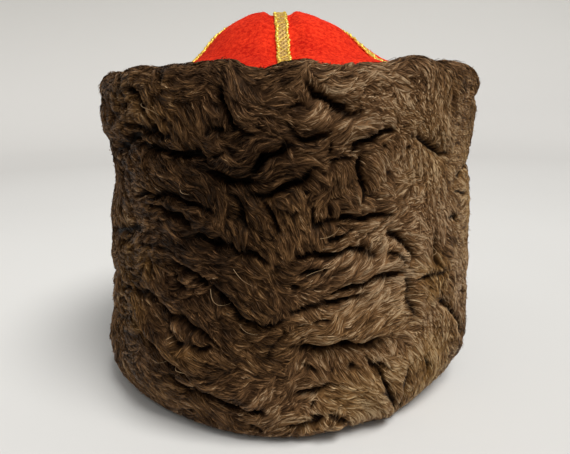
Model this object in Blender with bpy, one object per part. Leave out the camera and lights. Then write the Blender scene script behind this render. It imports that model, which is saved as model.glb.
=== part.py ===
# Papakha: a tall cap of curled lambskin, with a domed crown of red cloth in four gores and
# a cross of gilt braid over the seams of the gores.
# Sizes are in millimetres and become metres where a solid is made. Directions round the cap
# are in degrees from the front (-Y), growing toward +X. Z is up and the cap rests on its rim.
import math
import random

import bpy
import numpy as np

MM = 0.001

# Fur band
BAND_HEIGHT = 168.0
OVAL = 1.06
INNER_RADIUS = 90.0
MOUTH_RADIUS = 86.3
RIM_ROUNDING = 9.0
HEM_TUCK = 9.0
HEM_ROLL = 8.0
HEM_CURVE = 3.5
LIP_RADIUS = 85.3
LIP_BOTTOM = 149.0
LIP_TOP = 156.0
LIP_STEP = 6.0
RIM_FOOT = 120.0

# Crown of cloth
CLOTH_THICKNESS = 2.0
CROWN_RADIUS = 84.0
CROWN_TURN_DOWN = 4.5
CROWN_HOLE = 3.2
CROWN_PUFF = 2.5
PUFF_WIDTH = 7.5
APEX_SHIFT_X = -4.0
APEX_SHIFT_Y = 5.0
CROWN_TILT = 11.0

# Braid
BRAID_WIDTH = 7.0
BRAID_THICKNESS = 0.8
BRAID_CORD_RISE = 0.45
BRAID_CORD_WIDTH = 1.3
CROSSING_RAMP = 15.0

GAP = 0.3
SEAT_GAP = 0.5

# Mean outer side of the band: level as a part of the height, radius
PROFILE = (
    (0.00, 99.6),
    (0.12, 105.0),
    (0.30, 105.4),
    (0.50, 103.1),
    (0.70, 101.2),
    (0.88, 103.9),
    (1.00, 102.2),
)
# Lean of the band toward +X: level, shift
LEAN = (
    (0.0, -3.6),
    (84.0, 2.2),
    (168.0, 2.1),
)
# Height that the lowest curls reach above the rest plane: direction, level
HEM_LINE = (
    (-180.0, 5.0),
    (-130.0, 9.0),
    (-90.0, 6.0),
    (-60.0, 10.0),
    (-40.0, 12.0),
    (-28.0, 9.0),
    (-18.0, 4.0),
    (-5.0, 0.0),
    (8.0, 1.0),
    (20.0, 8.0),
    (31.0, 2.0),
    (38.0, 7.0),
    (48.0, 12.0),
    (80.0, 7.0),
    (130.0, 4.0),
    (180.0, 5.0),
)
# Rise of the rim over its mean height: direction, rise
RIM_LINE = (
    (-180.0, 0.0),
    (-75.0, 0.2),
    (-60.0, 0.5),
    (-50.0, 1.2),
    (-42.0, 2.2),
    (-28.0, 2.1),
    (-15.0, 1.9),
    (-8.0, -0.4),
    (-2.0, 0.9),
    (4.0, 1.3),
    (11.0, 0.4),
    (20.0, 1.1),
    (30.0, 2.2),
    (38.0, 2.3),
    (44.0, 1.4),
    (54.0, 0.7),
    (75.0, 0.0),
    (180.0, 0.0),
)
# Crown outside, from its top to the seam: radius, level
CROWN_PROFILE = (
    (0.0, 194.2),
    (15.0, 196.2),
    (29.0, 190.2),
    (38.5, 185.0),
    (47.0, 177.2),
    (54.0, 171.5),
    (70.0, 165.2),
    (84.0, 155.0),
)
# Arms of the braid cross: direction at the top of the crown, direction at the seam
BRAID_ARMS = (
    (0.0, -1.0),
    (90.0, 56.0),
    (181.0, 183.0),
    (273.0, 293.0),
)
# Folds between the curls of the front: direction and level of one end, direction and level
# of the other, bow to the left of the way from one to the other, half width, depth, and
# rise of the curl beside the fold on its left (or on its right, if negative)
FOLDS = (
    (-46, 158, -38, 149, 0, 3.6, 3.5, 1.0),
    (-48, 143, -28, 139, 0, 3.4, 4.5, 1.5),
    (-44, 136, -20, 131, -1, 4.0, 5.5, 2.0),
    (-15, 161, -12, 141, -2, 3.2, 4.5, 1.5),
    (-21, 127, -9, 121, -3, 3.8, 5.0, 1.5),
    (-11, 123, 0, 136, 1, 3.4, 4.5, 1.5),
    (-9, 115, 6, 125, -2, 3.4, 4.5, 1.5),
    (-14, 115, -11, 100, 0, 3.2, 3.5, 1.0),
    (-7, 116, -3, 100, -2, 3.2, 4.0, 1.0),
    (-46, 111, -20, 108, 4, 3.2, 4.5, 2.0),
    (-42, 106, -25, 100, 3, 3.4, 4.5, 1.0),
    (-27, 97, -7, 87, 2, 3.4, 4.5, 1.5),
    (-1, 142, 8, 141, -3, 3.4, 4.0, 1.5),
    (4, 157, 15, 148, -2, 3.6, 5.0, 1.5),
    (13, 133, 25, 140, 1, 3.4, 5.0, 2.0),
    (15, 131, 17, 111, 3, 3.2, 4.5, 1.0),
    (33, 137, 47, 126, -1, 3.8, 4.5, 2.0),
    (5, 101, 24, 103, 2, 3.4, 4.5, 2.0),
    (-1, 86, 20, 89, 2, 3.6, 4.5, 1.5),
    (24, 98, 32, 79, 2, 3.4, 3.5, 1.0),
    (8, 72, 29, 78, 0, 3.2, 5.0, 2.0),
    (-1, 66, 18, 68, 1, 3.2, 4.0, 1.5),
    (-35, 81, -21, 74, 2, 3.6, 4.5, 1.5),
    (-20, 76, -13, 65, 0, 3.8, 5.5, 1.0),
    (-14, 66, -3, 60, -3, 3.6, 5.5, 1.5),
    (-48, 66, -17, 49, 4, 3.2, 4.5, 2.5),
    (-52, 53, -25, 31, 1, 3.4, 5.0, 2.5),
    (-33, 30, -23, 23, 0, 3.6, 4.0, 1.0),
    (-24, 26, -6, 16, -1, 3.4, 5.0, 2.0),
    (1, 50, 24, 46, -1, 3.6, 5.5, 2.5),
    (2, 28, 12, 30, -1, 3.2, 4.0, 1.5),
    (1, 10, 10, 17, -1, 3.2, 4.0, 1.5),
    (9, 17, 17, 8, 2, 3.2, 3.5, 1.0),
    (19, 40, 32, 4, 3, 3.4, 4.0, -3.0),
    (33, 28, 34, 3, 0, 3.4, 4.0, -1.5),
    (30, 76, 34, 55, -2, 3.4, 4.0, 1.5),
    (41, 87, 42, 76, 0, 3.8, 5.0, 0.0),
    (43, 60, 60, 28, 2, 3.8, 4.0, -2.5),
)
# Cushions of curl of the front: direction, level, half length, half width, tilt, rise
CUSHIONS = (
    (-27, 152, 15, 9, -10, 1.6),
    (-8, 153, 10, 10, 0, 1.6),
    (-15, 130, 15, 7, 20, 2.0),
    (-5, 108, 7, 8, 0, 1.8),
    (10, 120, 11, 10, 0, 1.5),
    (-8, 69, 13, 8, -10, 3.0),
    (20, 57, 26, 8, 4, 2.0),
    (16, 81, 26, 4, 8, 1.5),
    (-26, 53, 10, 7, -20, 2.2),
    (-30, 44, 30, 6, -22, 1.8),
    (-40, 24, 18, 9, -10, 1.5),
    (12, 12, 8, 6, 0, 2.4),
    (18, 28, 14, 8, -35, 1.6),
    (-86, 157, 22, 14, 0, -2.2),
    (84, 167, 22, 10, 0, -2.5),
    (-88, 38, 34, 22, 0, -2.6),
    (-86, 130, 24, 26, 0, -1.6),
    (86, 125, 22, 42, 0, -1.2),
    (80, 45, 22, 20, 0, -1.2),
)
# Folds of the sides and back are spread by chance between these directions
SPREAD_FROM = 58.0
SPREAD_TO = 306.0
SPREAD_ROWS = 7
SPREAD_COLUMNS = 6
SPREAD_SEED = 41
# Folds are shallower about the sides
SIDE_MIDDLE = 86.0
SIDE_HALF = 24.0
SIDE_CALM = 0.5
DEGREE_ARC = 1.815

# Facets of the band: step of the front, half width of the front, step of the rest
FRONT_STEP = 2.5
FRONT_HALF = 60.0
REST_STEP = 5.0
OUTER_ROWS = 28
CLOSEST_ROWS = 2.0
GORE_COLUMNS = 8
ARM_STATIONS = (0.0, 0.05, 0.1, 0.16, 0.24, 0.33, 0.42, 0.5, 0.58, 0.66, 0.75, 0.84, 0.92, 0.985)


def curve(table, x):
    """Smooth curve through a table of two columns."""
    xs = np.array([row[0] for row in table], float)
    ys = np.array([row[1] for row in table], float)
    slopes = np.gradient(ys, xs)
    x = np.clip(np.asarray(x, float), xs[0], xs[-1])
    k = np.clip(np.searchsorted(xs, x, side="right") - 1, 0, len(xs) - 2)
    width = xs[k + 1] - xs[k]
    t = (x - xs[k]) / width
    start = (1 + 2 * t) * (1 - t) ** 2 * ys[k] + t * (1 - t) ** 2 * width * slopes[k]
    end = t * t * (3 - 2 * t) * ys[k + 1] + t * t * (t - 1) * width * slopes[k + 1]
    return start + end


def smooth_step(x):
    x = np.clip(x, 0.0, 1.0)
    return x * x * (3 - 2 * x)


def wrap(angle):
    return (np.asarray(angle, float) + 180.0) % 360.0 - 180.0


def spread_folds():
    """Folds of the sides and back, one in each cell of a grid, with chance in each."""
    chance = random.Random(SPREAD_SEED)
    folds = []
    wide = (SPREAD_TO - SPREAD_FROM) / SPREAD_COLUMNS
    tall = (BAND_HEIGHT - 10.0) / SPREAD_ROWS
    for row in range(SPREAD_ROWS):
        for column in range(SPREAD_COLUMNS):
            phi = SPREAD_FROM + wide * (column + 0.5 * (row % 2) + chance.uniform(0.1, 0.6))
            level = 8.0 + tall * (row + chance.uniform(0.2, 0.8))
            half = chance.uniform(8.0, 16.0)
            slope = chance.uniform(-8.0, 8.0)
            bow = chance.uniform(-6.0, 6.0)
            wide_half = chance.uniform(3.8, 5.0)
            deep = chance.uniform(3.6, 5.6)
            rise = chance.uniform(1.2, 2.6)
            if abs(abs(float(wrap(phi))) - SIDE_MIDDLE) < SIDE_HALF:
                deep *= SIDE_CALM
                rise *= SIDE_CALM
            folds.append((phi - half, level - slope, phi + half, level + slope,
                          bow, wide_half, deep, rise))
    return folds


def relief(phi, level):
    """Height of the curls over the mean side of the band."""
    phi = np.asarray(phi, float)
    level = np.asarray(level, float)
    groove = np.zeros_like(phi)
    edge = np.zeros_like(phi)
    for fold in list(FOLDS) + spread_folds():
        phi_a, level_a, phi_b, level_b, bow, half_width, depth, rise = fold
        middle = 0.5 * (phi_a + phi_b)
        x = wrap(phi - middle) * DEGREE_ARC
        y = level
        start = np.array(((phi_a - middle) * DEGREE_ARC, level_a), float)
        end = np.array(((phi_b - middle) * DEGREE_ARC, level_b), float)
        along = end - start
        side = np.array((-along[1], along[0])) / np.linalg.norm(along)
        control = 0.5 * (start + end) + 2.0 * bow * side
        nearest = np.full(phi.shape, 1e9)
        place = np.zeros_like(phi)
        hand = np.ones_like(phi)
        steps = 6
        for i in range(steps):
            t0 = i / steps
            t1 = (i + 1) / steps
            p0 = (1 - t0) ** 2 * start + 2 * t0 * (1 - t0) * control + t0 ** 2 * end
            p1 = (1 - t1) ** 2 * start + 2 * t1 * (1 - t1) * control + t1 ** 2 * end
            d = p1 - p0
            t = ((x - p0[0]) * d[0] + (y - p0[1]) * d[1]) / (d @ d)
            t = np.clip(t, 0.0, 1.0)
            gap_x = x - p0[0] - t * d[0]
            gap_y = y - p0[1] - t * d[1]
            gap = np.hypot(gap_x, gap_y)
            closer = gap < nearest
            nearest = np.where(closer, gap, nearest)
            place = np.where(closer, t0 + t / steps, place)
            hand = np.where(closer, np.sign(d[0] * gap_y - d[1] * gap_x), hand)
        taper = np.sqrt(np.clip(4 * place * (1 - place), 0.12, 1.0))
        groove = np.maximum(groove, depth * taper * np.exp(-(nearest / half_width) ** 2))
        raised = hand * np.sign(rise) > 0
        bank = np.exp(-((nearest - 1.8 * half_width) / (1.5 * half_width)) ** 2)
        edge = np.maximum(edge, np.where(raised, abs(rise) * taper * bank, 0.0))
    height = edge - groove
    for phi_c, level_c, half_length, half_wide, tilt, rise in CUSHIONS:
        x = wrap(phi - phi_c) * DEGREE_ARC
        y = level - level_c
        turn = math.radians(tilt)
        u = (x * math.cos(turn) + y * math.sin(turn)) / half_length
        v = (y * math.cos(turn) - x * math.sin(turn)) / half_wide
        height = height + rise * np.exp(-(u * u + v * v) ** 1.5)
    ripple = np.sin(np.radians(phi * 5.0) + level * 0.045 + 1.5 * np.sin(level * 0.05))
    swell = np.sin(np.radians(phi * 3.0) - level * 0.085 + 0.8)
    crimp = np.sin(np.radians(phi * 13.0)) + np.sin(np.radians(phi * 22.0 + 40.0))
    rim = smooth_step((level - 150.0) / 12.0)
    return height + 0.7 * ripple + 0.7 * swell + 0.55 * rim * crimp


def side_levels(phi):
    """Levels of the rows up the side, drawn to the folds that cross each direction."""
    base = np.linspace(21.0, BAND_HEIGHT - RIM_ROUNDING, OUTER_ROWS)
    levels = np.repeat(base[:, None], len(phi), axis=1)
    for fold in list(FOLDS) + spread_folds():
        phi_a, level_a, phi_b, level_b, bow = fold[:5]
        run = (phi_b - phi_a) * DEGREE_ARC
        rise = level_b - level_a
        if run < abs(rise):
            continue
        control = 0.5 * (level_a + level_b) + 2.0 * bow * run / math.hypot(run, rise)
        middle = 0.5 * (phi_a + phi_b)
        t = wrap(phi - middle) / (phi_b - phi_a) + 0.5
        wanted = (1 - t) ** 2 * level_a + 2 * t * (1 - t) * control + t * t * level_b
        for c in np.nonzero((t >= 0) & (t <= 1))[0]:
            row = int(np.argmin(np.abs(base - wanted[c])))
            free = 0 < row < OUTER_ROWS - 1 and levels[row, c] == base[row]
            if not free:
                continue
            above = levels[row + 1, c] - wanted[c]
            below = wanted[c] - levels[row - 1, c]
            if min(above, below) > CLOSEST_ROWS:
                levels[row, c] = wanted[c]
    return levels


def outer_radius(phi, level):
    """Mean outer radius across the cap, with the hem tucked under."""
    radius = curve(PROFILE, level / BAND_HEIGHT)
    roll = HEM_ROLL + curve(HEM_LINE, wrap(phi))
    return radius - HEM_TUCK * np.clip(1.0 - level / roll, 0.0, 1.0) ** HEM_CURVE


def rim_rise(phi, level):
    """Rise of a place on the outer side that follows the line of the rim."""
    share = smooth_step((level - RIM_FOOT) / (BAND_HEIGHT - RIM_FOOT))
    return share * curve(RIM_LINE, wrap(phi))


def band_rows(phi):
    """Rings of the band in the order of its section: radii and levels at all directions."""
    rows = []
    flat = np.zeros_like(phi)
    hem_levels = (0.0, 2.5, 6.0, 10.5, 15.5)
    for level in [flat + hem for hem in hem_levels] + list(side_levels(phi)):
        fade = smooth_step((level - 1.0) / 9.0)
        radius = outer_radius(phi, level) + fade * relief(phi, level)
        rows.append((radius, level + rim_rise(phi, level)))
    centre = BAND_HEIGHT - RIM_ROUNDING
    for turn in (35.0, 65.0, 90.0):
        a = math.radians(turn)
        base = curve(PROFILE, (centre + RIM_ROUNDING * math.sin(a)) / BAND_HEIGHT)
        radius = base - RIM_ROUNDING * (1 - math.cos(a))
        bump = relief(phi, flat + centre + RIM_ROUNDING * a) * (1 - 0.2 * turn / 90.0)
        top = centre + (RIM_ROUNDING + bump) * math.sin(a)
        rise = rim_rise(phi, flat + centre + RIM_ROUNDING * math.sin(a))
        rows.append((radius + bump * math.cos(a), top + rise))
    top_radius = curve(PROFILE, 1.0) - RIM_ROUNDING
    for turn in (30.0, 60.0, 90.0):
        a = math.radians(turn)
        bump = relief(phi, flat + BAND_HEIGHT + 5.0 + turn / 10.0) * 0.8 * (1 - turn / 90.0)
        radius = top_radius - (top_radius - LIP_RADIUS) * math.sin(a)
        rise = math.cos(a) * rim_rise(phi, flat + BAND_HEIGHT)
        top = LIP_TOP + (BAND_HEIGHT - LIP_TOP) * math.cos(a)
        rows.append((flat + radius, top + bump + rise))
    inner_side = (
        (LIP_RADIUS, LIP_BOTTOM),
        (INNER_RADIUS, LIP_BOTTOM - LIP_STEP),
        (INNER_RADIUS, 20.0),
        (MOUTH_RADIUS, 5.0),
        (MOUTH_RADIUS, 0.0),
    )
    for radius, level in inner_side:
        rows.append((flat + radius, flat + level))
    return rows


def band_directions():
    front = np.arange(-FRONT_HALF, FRONT_HALF, FRONT_STEP)
    rest = np.arange(FRONT_HALF, 360.0 - FRONT_HALF, REST_STEP)
    return np.concatenate((front, rest))


def ring_faces(columns, rows):
    """Quads of a closed grid, columns round and rows round, wound to face outward."""
    faces = []
    for i in range(columns):
        j = (i + 1) % columns
        for k in range(rows):
            m = (k + 1) % rows
            faces.append((i * rows + k, j * rows + k, j * rows + m, i * rows + m))
    return faces


def lean(level):
    return curve(LEAN, np.clip(level, 0.0, BAND_HEIGHT))


def build_band():
    directions = band_directions()
    rows = band_rows(directions)
    radius = np.stack([row[0] for row in rows], axis=1)
    level = np.stack([row[1] for row in rows], axis=1)
    a = np.radians(directions)[:, None]
    x = radius * np.sin(a) + lean(level)
    y = -radius * OVAL * np.cos(a)
    points = np.stack((x, y, level), axis=2).reshape(-1, 3)
    return points, ring_faces(len(directions), len(rows))


def arm_angle(arm, s):
    top, seam = BRAID_ARMS[arm % 4]
    return top + (seam - top) * float(smooth_step(s * 1.2))


def arm_distance(u, v):
    """Distance from a place of the crown, in parts of its radius, to the nearest arm."""
    s = math.hypot(u, v)
    nearest = 1.0
    for arm in range(4):
        a = math.radians(arm_angle(arm, s))
        forward = u * math.sin(a) - v * math.cos(a)
        across = abs(u * math.cos(a) + v * math.sin(a))
        if forward >= 0:
            nearest = min(nearest, across)
    return nearest * CROWN_RADIUS


def crown_base(u, v):
    """Outside of the crown without thickness, for a place in parts of its radius."""
    s = math.hypot(u, v)
    fade = 1.0 - float(smooth_step(s))
    x = float(lean(LIP_TOP)) + APEX_SHIFT_X * fade + CROWN_RADIUS * u
    y = APEX_SHIFT_Y * fade + CROWN_RADIUS * OVAL * v
    z = float(curve(CROWN_PROFILE, min(s, 1.0) * CROWN_RADIUS))
    reach = arm_distance(u, v) - 0.5 * BRAID_WIDTH - 1.0
    puff = CROWN_PUFF * float(smooth_step(reach / PUFF_WIDTH))
    rim = float(smooth_step((1.0 - s) / 0.25))
    return np.array((x, y, z + puff * rim - CROWN_TILT * v * fade))


def crown_normal(u, v):
    step = 0.004
    du = crown_base(u + step, v) - crown_base(u - step, v)
    dv = crown_base(u, v + step) - crown_base(u, v - step)
    normal = np.cross(du, dv)
    return normal / np.linalg.norm(normal)


def crown_point(u, v, lift):
    """Place of the crown raised by a lift square to the cloth."""
    if math.hypot(u, v) > 0.97:
        scale = 0.97 / math.hypot(u, v)
        normal = crown_normal(u * scale, v * scale)
    else:
        normal = crown_normal(u, v)
    return crown_base(u, v) + lift * normal


def build_gore(arm):
    """One of the four gores, from beside one arm of the braid to beside the next."""
    outside = []
    inside = []
    hole = CROWN_HOLE / CROWN_RADIUS
    levels = [hole] + [s for s in ARM_STATIONS if s > 0.08] + [1.0]
    for s in levels:
        margin = math.degrees(0.5 * GAP / (s * CROWN_RADIUS))
        first = arm_angle(arm, s) + margin
        last = arm_angle(arm + 1, s) - margin
        if last < first:
            last += 360.0
        flat = min(0.3, (0.5 * BRAID_WIDTH + 0.8) / (s * CROWN_RADIUS * math.radians(last - first)))
        inner = np.linspace(flat, 1.0 - flat, GORE_COLUMNS - 1)
        for part in [0.0] + list(inner) + [1.0]:
            a = math.radians(first + (last - first) * part)
            u = s * math.sin(a)
            v = -s * math.cos(a)
            outside.append(crown_point(u, v, 0.0))
            inside.append(crown_point(u, v, -CLOTH_THICKNESS))
    columns = GORE_COLUMNS + 1
    for edge in outside[-columns:]:
        centre = np.array((float(lean(LIP_TOP)), 0.0, 0.0))
        way = edge - centre
        way[2] = 0.0
        way /= np.linalg.norm(way)
        level = edge[2] - CROWN_TURN_DOWN
        reach = np.array((edge[0], edge[1], level)) + way * (LIP_RADIUS - SEAT_GAP - CROWN_RADIUS)
        outside.append(reach)
        inside.append(reach - way * CLOTH_THICKNESS)
    rows = len(levels) + 1
    points = outside + inside
    count = len(outside)
    faces = []
    for r in range(rows - 1):
        for c in range(columns - 1):
            p = r * columns + c
            q = p + columns
            faces.append((p, q, q + 1, p + 1))
            faces.append((count + p, count + p + 1, count + q + 1, count + q))
    for r in range(rows - 1):
        p = r * columns
        q = p + columns
        faces.append((p, count + p, count + q, q))
        p += columns - 1
        q += columns - 1
        faces.append((p, q, count + q, count + p))
    for c in range(columns - 1):
        p = c
        faces.append((p, p + 1, count + p + 1, count + p))
        p = (rows - 1) * columns + c
        faces.append((p, count + p, count + p + 1, p + 1))
    return points, faces


def braid_section():
    """Half turn of the braid's section: place across, height. Cords stand at its edges."""
    half = 0.5 * BRAID_WIDTH
    crest = half - 0.5 * BRAID_CORD_WIDTH
    foot = half - BRAID_CORD_WIDTH
    top = BRAID_THICKNESS + BRAID_CORD_RISE
    return (
        (-half, 0.0),
        (0.0, 0.0),
        (half, 0.0),
        (half, BRAID_THICKNESS),
        (crest, top),
        (foot, BRAID_THICKNESS),
        (-foot, BRAID_THICKNESS),
        (-crest, top),
        (-half, BRAID_THICKNESS),
    )


def build_braid(first_arm, over):
    """Braid over the crown from one arm to the opposite one."""
    section = braid_section()
    points = []
    back = [(first_arm + 2, s) for s in reversed(ARM_STATIONS[1:])]
    stations = back + [(first_arm, s) for s in ARM_STATIONS]
    step_over = BRAID_THICKNESS + BRAID_CORD_RISE + GAP
    for arm, s in stations:
        a = math.radians(arm_angle(arm, s))
        forward = np.array((math.sin(a), -math.cos(a)))
        across = np.array((math.cos(a), math.sin(a)))
        if arm != first_arm:
            across = -across
        lift = GAP
        if over:
            away = s * CROWN_RADIUS - 0.5 * BRAID_WIDTH
            lift += step_over * (1.0 - float(smooth_step(away / CROSSING_RAMP)))
        for place, height in section:
            spot = forward * s + across * place / CROWN_RADIUS
            points.append(crown_point(spot[0], spot[1], lift + height))
    size = len(section)
    count = len(stations)
    faces = []
    for i in range(count - 1):
        for k in range(size):
            m = (k + 1) % size
            faces.append((i * size + k, i * size + m, (i + 1) * size + m, (i + 1) * size + k))
    faces.append(tuple(reversed(range(size))))
    faces.append(tuple((count - 1) * size + k for k in range(size)))
    return points, faces


def material(name, colour, roughness, metallic):
    made = bpy.data.materials.new(name)
    made.use_nodes = True
    shader = made.node_tree.nodes["Principled BSDF"]
    shader.inputs["Base Color"].default_value = (*colour, 1.0)
    shader.inputs["Roughness"].default_value = roughness
    shader.inputs["Metallic"].default_value = metallic
    return made


def signed_volume(points, faces):
    total = 0.0
    for face in faces:
        a = np.asarray(points[face[0]], float)
        for i in range(1, len(face) - 1):
            b = np.asarray(points[face[i]], float)
            c = np.asarray(points[face[i + 1]], float)
            total += float(np.dot(a, np.cross(b, c))) / 6.0
    return total


def add_solid(name, shape, centre, surface):
    points, faces = shape
    if signed_volume(points, faces) < 0:
        faces = [tuple(reversed(face)) for face in faces]
    moved = [tuple((np.asarray(p, float) - centre) * MM) for p in points]
    mesh = bpy.data.meshes.new(name)
    mesh.from_pydata(moved, [], faces)
    mesh.update()
    for polygon in mesh.polygons:
        polygon.use_smooth = True
    mesh.materials.append(surface)
    made = bpy.data.objects.new(name, mesh)
    bpy.context.scene.collection.objects.link(made)
    return made


def main():
    for old in list(bpy.data.objects):
        bpy.data.objects.remove(old, do_unlink=True)
    fur = material("karakul_fur", (0.10, 0.058, 0.030), 0.85, 0.0)
    felt = material("red_felt", (0.60, 0.022, 0.012), 0.9, 0.0)
    gilt = material("gold_braid", (0.72, 0.47, 0.12), 0.4, 0.6)
    band = build_band()
    corners = np.array(band[0])
    centre = 0.5 * (corners.min(axis=0) + corners.max(axis=0))
    centre[2] = 0.0
    add_solid("fur_band", band, centre, fur)
    gores = ("front_left", "back_left", "back_right", "front_right")
    for arm, place in enumerate(gores):
        add_solid("crown_gore_" + place, build_gore(arm), centre, felt)
    add_solid("braid_side_to_side", build_braid(1, False), centre, gilt)
    add_solid("braid_front_to_back", build_braid(0, True), centre, gilt)


main()
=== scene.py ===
# Papakha: curled lambskin band, domed red cloth crown and a cross of gilt braid.
# Sizes are in millimetres and become metres where a mesh is made. Directions round the cap
# are in degrees from the front (-Y), growing toward +X.
import math
import random

import bpy
import numpy as np
from mathutils import Matrix, Vector


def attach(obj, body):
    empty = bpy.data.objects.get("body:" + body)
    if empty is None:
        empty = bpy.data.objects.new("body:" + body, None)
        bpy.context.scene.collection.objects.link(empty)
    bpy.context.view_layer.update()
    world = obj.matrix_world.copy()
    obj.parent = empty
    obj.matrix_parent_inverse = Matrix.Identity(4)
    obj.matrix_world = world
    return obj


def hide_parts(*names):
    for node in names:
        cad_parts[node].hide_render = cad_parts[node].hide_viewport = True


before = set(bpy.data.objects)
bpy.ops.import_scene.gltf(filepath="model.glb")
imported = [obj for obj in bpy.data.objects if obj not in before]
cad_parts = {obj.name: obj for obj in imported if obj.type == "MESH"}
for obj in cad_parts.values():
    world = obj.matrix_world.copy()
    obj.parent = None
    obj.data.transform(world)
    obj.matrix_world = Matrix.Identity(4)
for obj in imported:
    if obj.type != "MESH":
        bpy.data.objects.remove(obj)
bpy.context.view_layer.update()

MM = 0.001
CENTRE = np.array((-0.1594, -1.3208, 0.0))

# Fur band
BAND_HEIGHT = 168.0
OVAL = 1.06
INNER_RADIUS = 90.0
MOUTH_RADIUS = 86.3
RIM_ROUNDING = 9.0
HEM_TUCK = 9.0
HEM_ROLL = 8.0
HEM_CURVE = 3.5
LIP_RADIUS = 85.3
LIP_BOTTOM = 149.0
LIP_TOP = 156.0
LIP_STEP = 6.0
RIM_FOOT = 120.0
# Ways along its surface in mm: over the inner side of the rim, and of one degree round it
INNER_ARC = 9.0
DEGREE_ARC = 1.815

# Crown of cloth
CLOTH_THICKNESS = 2.0
CROWN_RADIUS = 84.0
CROWN_TURN_DOWN = 4.5
CROWN_HOLE = 3.2
CROWN_PUFF = 2.5
PUFF_WIDTH = 7.5
# Swell of the cloth on one shoulder of the crown, in parts of its radius, rise in mm
SWELL_AT = (-0.34, 0.0)
SWELL_REACH = 0.34
SWELL_RISE = 2.2
APEX_SHIFT_X = -4.0
APEX_SHIFT_Y = 5.0
CROWN_TILT = 11.0

# Braid
BRAID_WIDTH = 7.0
BRAID_THICKNESS = 0.8
BRAID_CORD_RISE = 0.45
BRAID_CORD_WIDTH = 1.8
BRAID_END = 0.985
BRAID_SEAT = 0.35
CROSSING_RAMP = 15.0
GAP = 0.3
SEAT_GAP = 0.5

# Mean outer side of the band: level as a part of the height, radius
PROFILE = (
    (0.00, 99.6), (0.12, 105.0), (0.30, 105.4), (0.50, 103.1), (0.70, 101.2), (0.88, 103.9),
    (1.00, 102.2),
)
# Lean of the band toward +X: level, shift
LEAN = (
    (0.0, -3.6), (84.0, 2.2), (168.0, 2.1),
)
# Height that the lowest curls reach above the rest plane: direction, level
HEM_LINE = (
    (-180.0, 5.0), (-130.0, 9.0), (-90.0, 6.0), (-60.0, 10.0), (-40.0, 12.0), (-28.0, 9.0),
    (-18.0, 4.0), (-5.0, 0.0), (8.0, 1.0), (20.0, 8.0), (31.0, 2.0), (38.0, 7.0), (48.0, 12.0),
    (80.0, 7.0), (130.0, 4.0), (180.0, 5.0),
)
# Rise of the rim over its mean height: direction, rise
RIM_LINE = (
    (-180.0, 0.0), (-75.0, 0.2), (-60.0, 0.5), (-50.0, 1.2), (-42.0, 2.2), (-28.0, 2.1),
    (-15.0, 1.9), (-8.0, -0.4), (-2.0, 0.9), (4.0, 1.3), (11.0, 0.4), (20.0, 1.1), (30.0, 2.2),
    (38.0, 2.3), (44.0, 1.4), (54.0, 0.7), (75.0, 0.0), (180.0, 0.0),
)
# Crown outside, from its top to the seam: radius, level
CROWN_PROFILE = (
    (0.0, 194.2), (15.0, 196.2), (29.0, 190.2), (38.5, 185.0), (47.0, 177.2), (54.0, 171.5),
    (70.0, 165.2), (84.0, 155.0),
)
# Gores in the order of the arms, each between its arm and the next
GORES = ("front_left", "back_left", "back_right", "front_right")
# Arms of the braid cross: direction at the top of the crown, direction at the seam
BRAID_ARMS = (
    (0.0, -1.0), (90.0, 56.0), (181.0, 183.0), (273.0, 293.0),
)
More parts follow.
